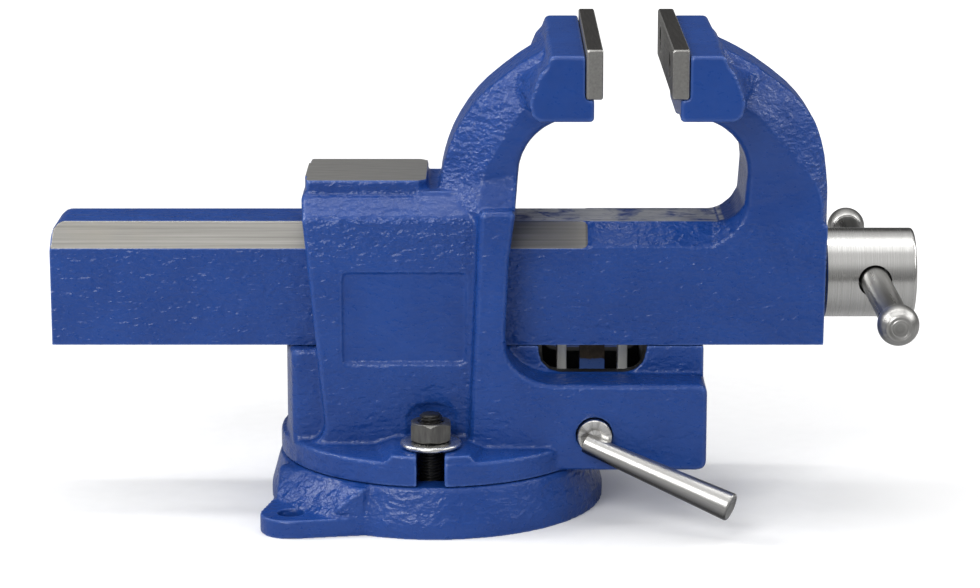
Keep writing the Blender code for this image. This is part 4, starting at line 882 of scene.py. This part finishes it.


# Guide yoke: two slim posts on a foot, each with a pad that carries its spring, in millimetres
# paler than the plated zinc: painted light on the posts, which stand in shade
paintedBrightZinc = {"light": (0.92, 0.92, 0.90, 1), "dark": (0.74, 0.74, 0.72, 1), "marks": (300, 300, 40),
            "roughness": 0.34, "stain": 0.15, "strength": 0.1, "metallic": 0.35}
yoke = {
    "angle": 35, "centre": 69.0, "low": 50.3, "padZ": 73.2, "topZ": 76.0, "halfWidth": 7.0,
    "halfLength": 17.5, "postInner": 11.4, "postOuter": 15.6, "postLow": 51.3, "postTop": 75.6,
    "postEdge": 0.35, "padHalfWidth": 6.9, "edge": 0.3,
    "footInner": 6.1, "footTop": 53.4, "wingLength": 9.1, "wingSpan": (6.6, 14.0), "wingTop": 53.3,
    "pegX": 14.4, "peg": [(0, -1), (1.4, -1), (1.4, 2.6), (1.0, 3.0), (0, 3.0)],
}


def yokeBlock(side, inner, outer, halfWidth, low, high, edge):
    # a block on one side of the yoke's middle
    near, far = sorted((yoke["centre"] + side * inner, yoke["centre"] + side * outer))
    return blockMesh((near, -halfWidth, low), (far, halfWidth, high), edge)


def buildYoke():
    inner, outer, half, edge = yoke["postInner"], yoke["halfLength"], yoke["halfWidth"], yoke["edge"]
    pieces = []
    for side in (-1, 1):
        pieces.append(yokeBlock(side, inner, yoke["postOuter"], half, yoke["postLow"], yoke["postTop"],
                                yoke["postEdge"]))
        pieces.append(yokeBlock(side, inner, outer, yoke["padHalfWidth"], yoke["padZ"], yoke["topZ"], edge))
        pieces.append(yokeBlock(side, yoke["footInner"], outer, half, yoke["low"], yoke["footTop"], edge))
        peg = turned(yoke["peg"], 24)
        peg.transform(shifted(yoke["centre"] + side * yoke["pegX"], 0, yoke["topZ"]))
        pieces.append(peg)
        near, far = sorted(side * reach for reach in yoke["wingSpan"])
        pieces.append(blockMesh((yoke["centre"] - yoke["wingLength"], near, yoke["low"]),
                                (yoke["centre"] + yoke["wingLength"], far, yoke["wingTop"]), edge))
    finish = material("post_zinc_painted_bright", steelShader, paintedBrightZinc)
    addPiece("yoke_bracket", "guide_yoke", "body", gathered(*pieces), finish, yoke["angle"])


buildLever()
buildYoke()
print("release lever and yoke ready")


# Clamping bolts with their washers and nuts, front and back, in millimetres
nutSteel = {"light": (0.19, 0.186, 0.175, 1), "dark": (0.10, 0.098, 0.092, 1), "marks": (700, 700, 120),
            "roughness": 0.36, "stain": 0.3, "metallic": 0.9}
clampPlace = {"x": -1.8, "y": 52.0}
bolt = {"headLow": 5.3, "headTop": 13.7, "headHalf": 8.3, "headEdge": 0.6, "threadLow": 6.3, "top": 50.2,
        "angle": 50,
        "thread": {"crest": 5.0, "root": 4.1, "pitch": 1.5, "steps": 40, "perTurn": 10, "lead": 0.9}}
washer = {"low": 35.8, "top": 38.3, "radius": 13.3, "hole": 5.4, "holeEase": 0.2, "angle": 30, "flat": 0.9,
          "round": 1.15, "roundArc": (-80, 60),
          "crown": ((1.5, 0.15), (3.0, 0))}   # in from the rim and down from the top
nut = {"low": 38.6, "height": 8.4, "across": 17.0, "hole": 5.3, "faceEase": 0.3, "cornerEase": 1.15,
       "sink": 0.7, "sinkReach": (1.4, 1), "angle": 25}


def buildBolt(label, where):
    half = bolt["headHalf"]
    head = blockMesh((-half, -half, bolt["headLow"]), (half, half, bolt["headTop"]), bolt["headEdge"])
    shank = threaded(bolt["threadLow"], bolt["top"], bolt["thread"])
    addPiece("threaded_bolt_" + label, "clamp_bolt_" + label, "body", gathered(head, shank),
             blackFinish, bolt["angle"], where)


def buildWasher(label, where):
    low, top, radius, hole = washer["low"], washer["top"], washer["radius"], washer["hole"]
    curve, ease = washer["round"], washer["holeEase"]
    profile = [(hole, low), (radius - washer["flat"], low)]
    profile += bent((radius - curve, low + curve), curve, *washer["roundArc"], 8)
    profile += [(radius - inward, top - down) for inward, down in washer["crown"]]
    profile += [(hole + ease, top), (hole, top - ease)]
    addPiece("plated_washer_" + label, "clamp_washer_" + label, "body", turned(profile),
             zincFinish, washer["angle"], where)


def buildNut(label, where, finish):
    # the body is what a hexagon and a round with coned ends have in common; the bore is sunk at both ends
    height, hole, ease = nut["height"], nut["hole"], nut["cornerEase"]
    corner, face = nut["across"] / math.sqrt(3), nut["across"] / 2 - nut["faceEase"]
    blank = turned([(0, 0), (face, 0), (corner, ease),
                    (corner, height - ease), (face, height), (0, height)])
    wider, beyond = nut["sinkReach"]
    prism = turned([(0, -beyond), (corner, -beyond), (corner, height + beyond), (0, height + beyond)], 6, 0.5)
    hexagon = combined(blank, prism, "INTERSECT")
    bore = turned([(0, -beyond), (hole + wider, -beyond), (hole, nut["sink"]), (hole, height - nut["sink"]),
                   (hole + wider, height + beyond), (0, height + beyond)], 64)
    mesh = combined(hexagon, bore, "DIFFERENCE")
    mesh.transform(shifted(0, 0, nut["low"]))
    addPiece("hex_nut_" + label, "clamp_nut_" + label, label + "_clamp", mesh, finish,
             nut["angle"], where)


nutFinish = material("grey_nut_steel", steelShader, nutSteel)
for clampLabel, clampSide in sides:
    clampSpot = shifted(clampPlace["x"], clampSide * clampPlace["y"], 0)
    buildBolt(clampLabel, clampSpot)
    buildWasher(clampLabel, clampSpot)
    buildNut(clampLabel, clampSpot, nutFinish)
print("clamping bolts ready")


# Parts that keep the imported shape
# its light and dark streaks out from the shaft's axis are a painted sunburst reflection on the dished end
shaftSteelPaintedSunburst = {"light": (0.85, 0.84, 0.82, 1), "dark": (0.30, 0.295, 0.285, 1), "marks": (3.2, 3.2, 300),
              "pattern": "spokes", "centre": (0.069, 0.0384), "roughness": 0.22, "stain": 0.1,
              "strength": 0.3}
nutFoot = {"line": (63.0, 62.4), "waver": 0.8, "scale": 160}   # height of the blue's edge, in millimetres


def nutBlockShader(tree):
    # the half nut is oiled brown above and dark blue below, with a wavering line between
    x, y, z = inMillimetres(tree)
    edge = noise(tree, place(tree), nutFoot["scale"])
    level = plus(tree, z, remap(tree, edge, 0.3, 0.7, -nutFoot["waver"], nutFoot["waver"]))
    foot = soft(tree, level, *nutFoot["line"])
    return mixShaders(tree, foot, steelShader(tree, oiledSteel), paintShader(tree))


keptFinishes = {
    "half_nut": material("oiled_nut_with_blue_foot", nutBlockShader),
    "release_shaft": material("dished_shaft_steel_painted_sunburst", steelShader, shaftSteelPaintedSunburst),
    "shaft_clip": blackFinish, "thrust_collar": oiledFinish, "collar_pin": barFinish,
    "yoke_screw_front": oiledFinish, "yoke_screw_back": oiledFinish,
    "nut_spring_left": zincFinish, "nut_spring_right": zincFinish,
    "fixed_insert_screw_front": blackFinish, "fixed_insert_screw_back": blackFinish,
    "moving_insert_screw_front": blackFinish, "moving_insert_screw_back": blackFinish,
}
for partName, partFinish in keptFinishes.items():
    slots = parts[partName].data.materials
    for index in range(len(slots)):
        slots[index] = partFinish
print("small parts finished")


# Floor: pale and matte, dimmer where steel mirrors it, in metres
floorLook = {"width": 6.0, "near": -0.50, "far": 4.0, "albedo": 0.88, "grain": 0.01, "grainScale": 120,
             "mirrorShare": 0.55, "glow": (0.065, 0.68), "glowReach": (0.25, 1.3),
             "rightGlow": 0.15, "rightReach": (0.08, 0.35)}


def mirroredRays(tree, rays):
    # 1 where the surface is seen in a mirror or through glass
    return larger(tree, rays.outputs["Is Glossy Ray"], rays.outputs["Is Transmission Ray"])


def floorShader(tree):
    # only the camera sees its glow, which lights the far floor as the photograph has it
    rays = put(tree, "LightPath")
    albedo, grain = floorLook["albedo"], floorLook["grain"]
    speckle = noise(tree, place(tree), floorLook["grainScale"])
    level = remap(tree, speckle, 0.3, 0.7, albedo - grain, albedo + grain)
    dimmed = remap(tree, mirroredRays(tree, rays), 0.0, 1.0, 1.0, floorLook["mirrorShare"])
    level = times(tree, level, dimmed)
    colour = put(tree, "CombineColor", {0: level, 1: level, 2: level}).outputs[0]
    matte = put(tree, "BsdfDiffuse", {"Color": colour})
    away = put(tree, "VectorMath", {0: place(tree)}, operation="LENGTH").outputs["Value"]
    # the glow is weaker near the vise, a painted shade round it on the floor, and stronger to its right,
    # painted light there
    around = remap(tree, away, *floorLook["glowReach"], *floorLook["glow"])
    right = remap(tree, axesOf(tree, place(tree))[0], *floorLook["rightReach"], 0.0, floorLook["rightGlow"])
    strength = times(tree, rays.outputs["Is Camera Ray"], plus(tree, around, right))
    glow = put(tree, "Emission", {"Color": (1, 1, 1, 1), "Strength": strength})
    return put(tree, "AddShader", {0: matte.outputs[0], 1: glow.outputs[0]})


def buildFloor():
    half, near, far = floorLook["width"] / 2, floorLook["near"], floorLook["far"]
    corners = [(-half, near, 0), (half, near, 0), (half, far, 0), (-half, far, 0)]
    mesh = bpy.data.meshes.new("floor")
    mesh.from_pydata(corners, [], [(0, 1, 2, 3)])
    mesh.materials.append(material("pale_floor", floorShader))
    floor = bpy.data.objects.new("floor", mesh)
    bpy.context.scene.collection.objects.link(floor)


# Room: a lit ceiling and unlit walls, which steel shows as darker bands. Spans are of the view's direction
room = {"wall": 0.30, "ceiling": 0.80, "wallTop": (0.25, 0.60),
        "frontBand": 0.20, "frontward": (-0.1, -0.5), "frontHeight": (0.35, 0.05),
        "rearBand": 0.05, "rearward": (0.1, 0.5), "rearLow": (0.02, 0.07), "rearHigh": (0.80, 0.50),
        "ambient": (0.56, 0.34), "ambientHeight": (0.2, 0.8)}


def darkened(tree, level, band, darkest):
    # the level, pressed down inside a dark band
    return smaller(tree, level, remap(tree, band, 0.0, 1.0, room["ceiling"], darkest))


def mirroredRoom(tree, direction):
    height = direction[2]
    walls = remap(tree, height, *room["wallTop"], room["wall"], room["ceiling"])
    front = times(tree, soft(tree, direction[1], *room["frontward"]),
                  soft(tree, height, *room["frontHeight"]))
    rear = times(tree, soft(tree, direction[1], *room["rearward"]),
                 soft(tree, height, *room["rearLow"]), soft(tree, height, *room["rearHigh"]))
    return darkened(tree, darkened(tree, walls, front, room["frontBand"]), rear, room["rearBand"])


def buildWorld():
    world = bpy.data.worlds.new("studio")
    bpy.context.scene.world = world
    world.use_nodes = True
    tree = world.node_tree
    tree.nodes.clear()
    rays = put(tree, "LightPath")
    direction = axesOf(tree, put(tree, "TexCoord").outputs["Generated"])
    shiny = mirroredRays(tree, rays)
    spread = remap(tree, direction[2], *room["ambientHeight"], *room["ambient"])
    strength = plus(tree, times(tree, shiny, mirroredRoom(tree, direction)),
                    times(tree, minus(tree, 1.0, shiny), spread))
    visible = larger(tree, rays.outputs["Is Camera Ray"], strength)   # the camera sees plain white
    background = put(tree, "Background", {"Color": (1, 1, 1, 1), "Strength": visible})
    tree.links.new(background.outputs[0], put(tree, "OutputWorld").inputs[0])


# Lamps: soft boxes and strips, all aimed at one point
lampTarget = (0.0, 0.0, 0.08)
lamps = {
    "overhead_softbox": {"place": (0.0, 0.0, 1.40), "size": (1.1, 1.1), "watts": 3.2},
    "overhead_strip": {"place": (0.0, 0.10, 1.20), "size": (1.3, 0.10), "watts": 2.6},
    "front_softbox": {"place": (-0.55, -1.25, 0.95), "size": (0.75, 0.75), "watts": 13.0},
    "left_strip": {"place": (-0.95, 0.10, 0.85), "size": (0.16, 0.7), "watts": 5.5},
    "right_strip": {"place": (1.05, 0.15, 0.80), "size": (0.16, 0.7), "watts": 3.2},
    "right_fill": {"place": (1.1, -0.6, 0.7), "size": (0.5, 0.5), "watts": 1.6},
}


def buildLamps():
    for name, values in lamps.items():
        data = bpy.data.lights.new(name, "AREA")
        data.shape = "RECTANGLE"
        data.size, data.size_y = values["size"]
        data.energy = values["watts"]
        lamp = bpy.data.objects.new(name, data)
        lamp.location = values["place"]
        lamp.rotation_euler = (Vector(lampTarget) - lamp.location).to_track_quat("-Z", "Y").to_euler()
        bpy.context.scene.collection.objects.link(lamp)


viewpoint = {"place": (0.0237, -1.384, 0.4105), "tilt": 77, "lens": 117.55, "sensor": 36}


def buildCamera():
    data = bpy.data.cameras.new("camera")
    data.lens = viewpoint["lens"]
    data.sensor_width = viewpoint["sensor"]
    camera = bpy.data.objects.new("camera", data)
    camera.location = viewpoint["place"]
    camera.rotation_euler = (math.radians(viewpoint["tilt"]), 0, 0)
    bpy.context.scene.collection.objects.link(camera)
    bpy.context.scene.camera = camera


buildFloor()
buildWorld()
buildLamps()
buildCamera()
bpy.context.scene.view_settings.view_transform = "Standard"
print("room, light and camera ready")
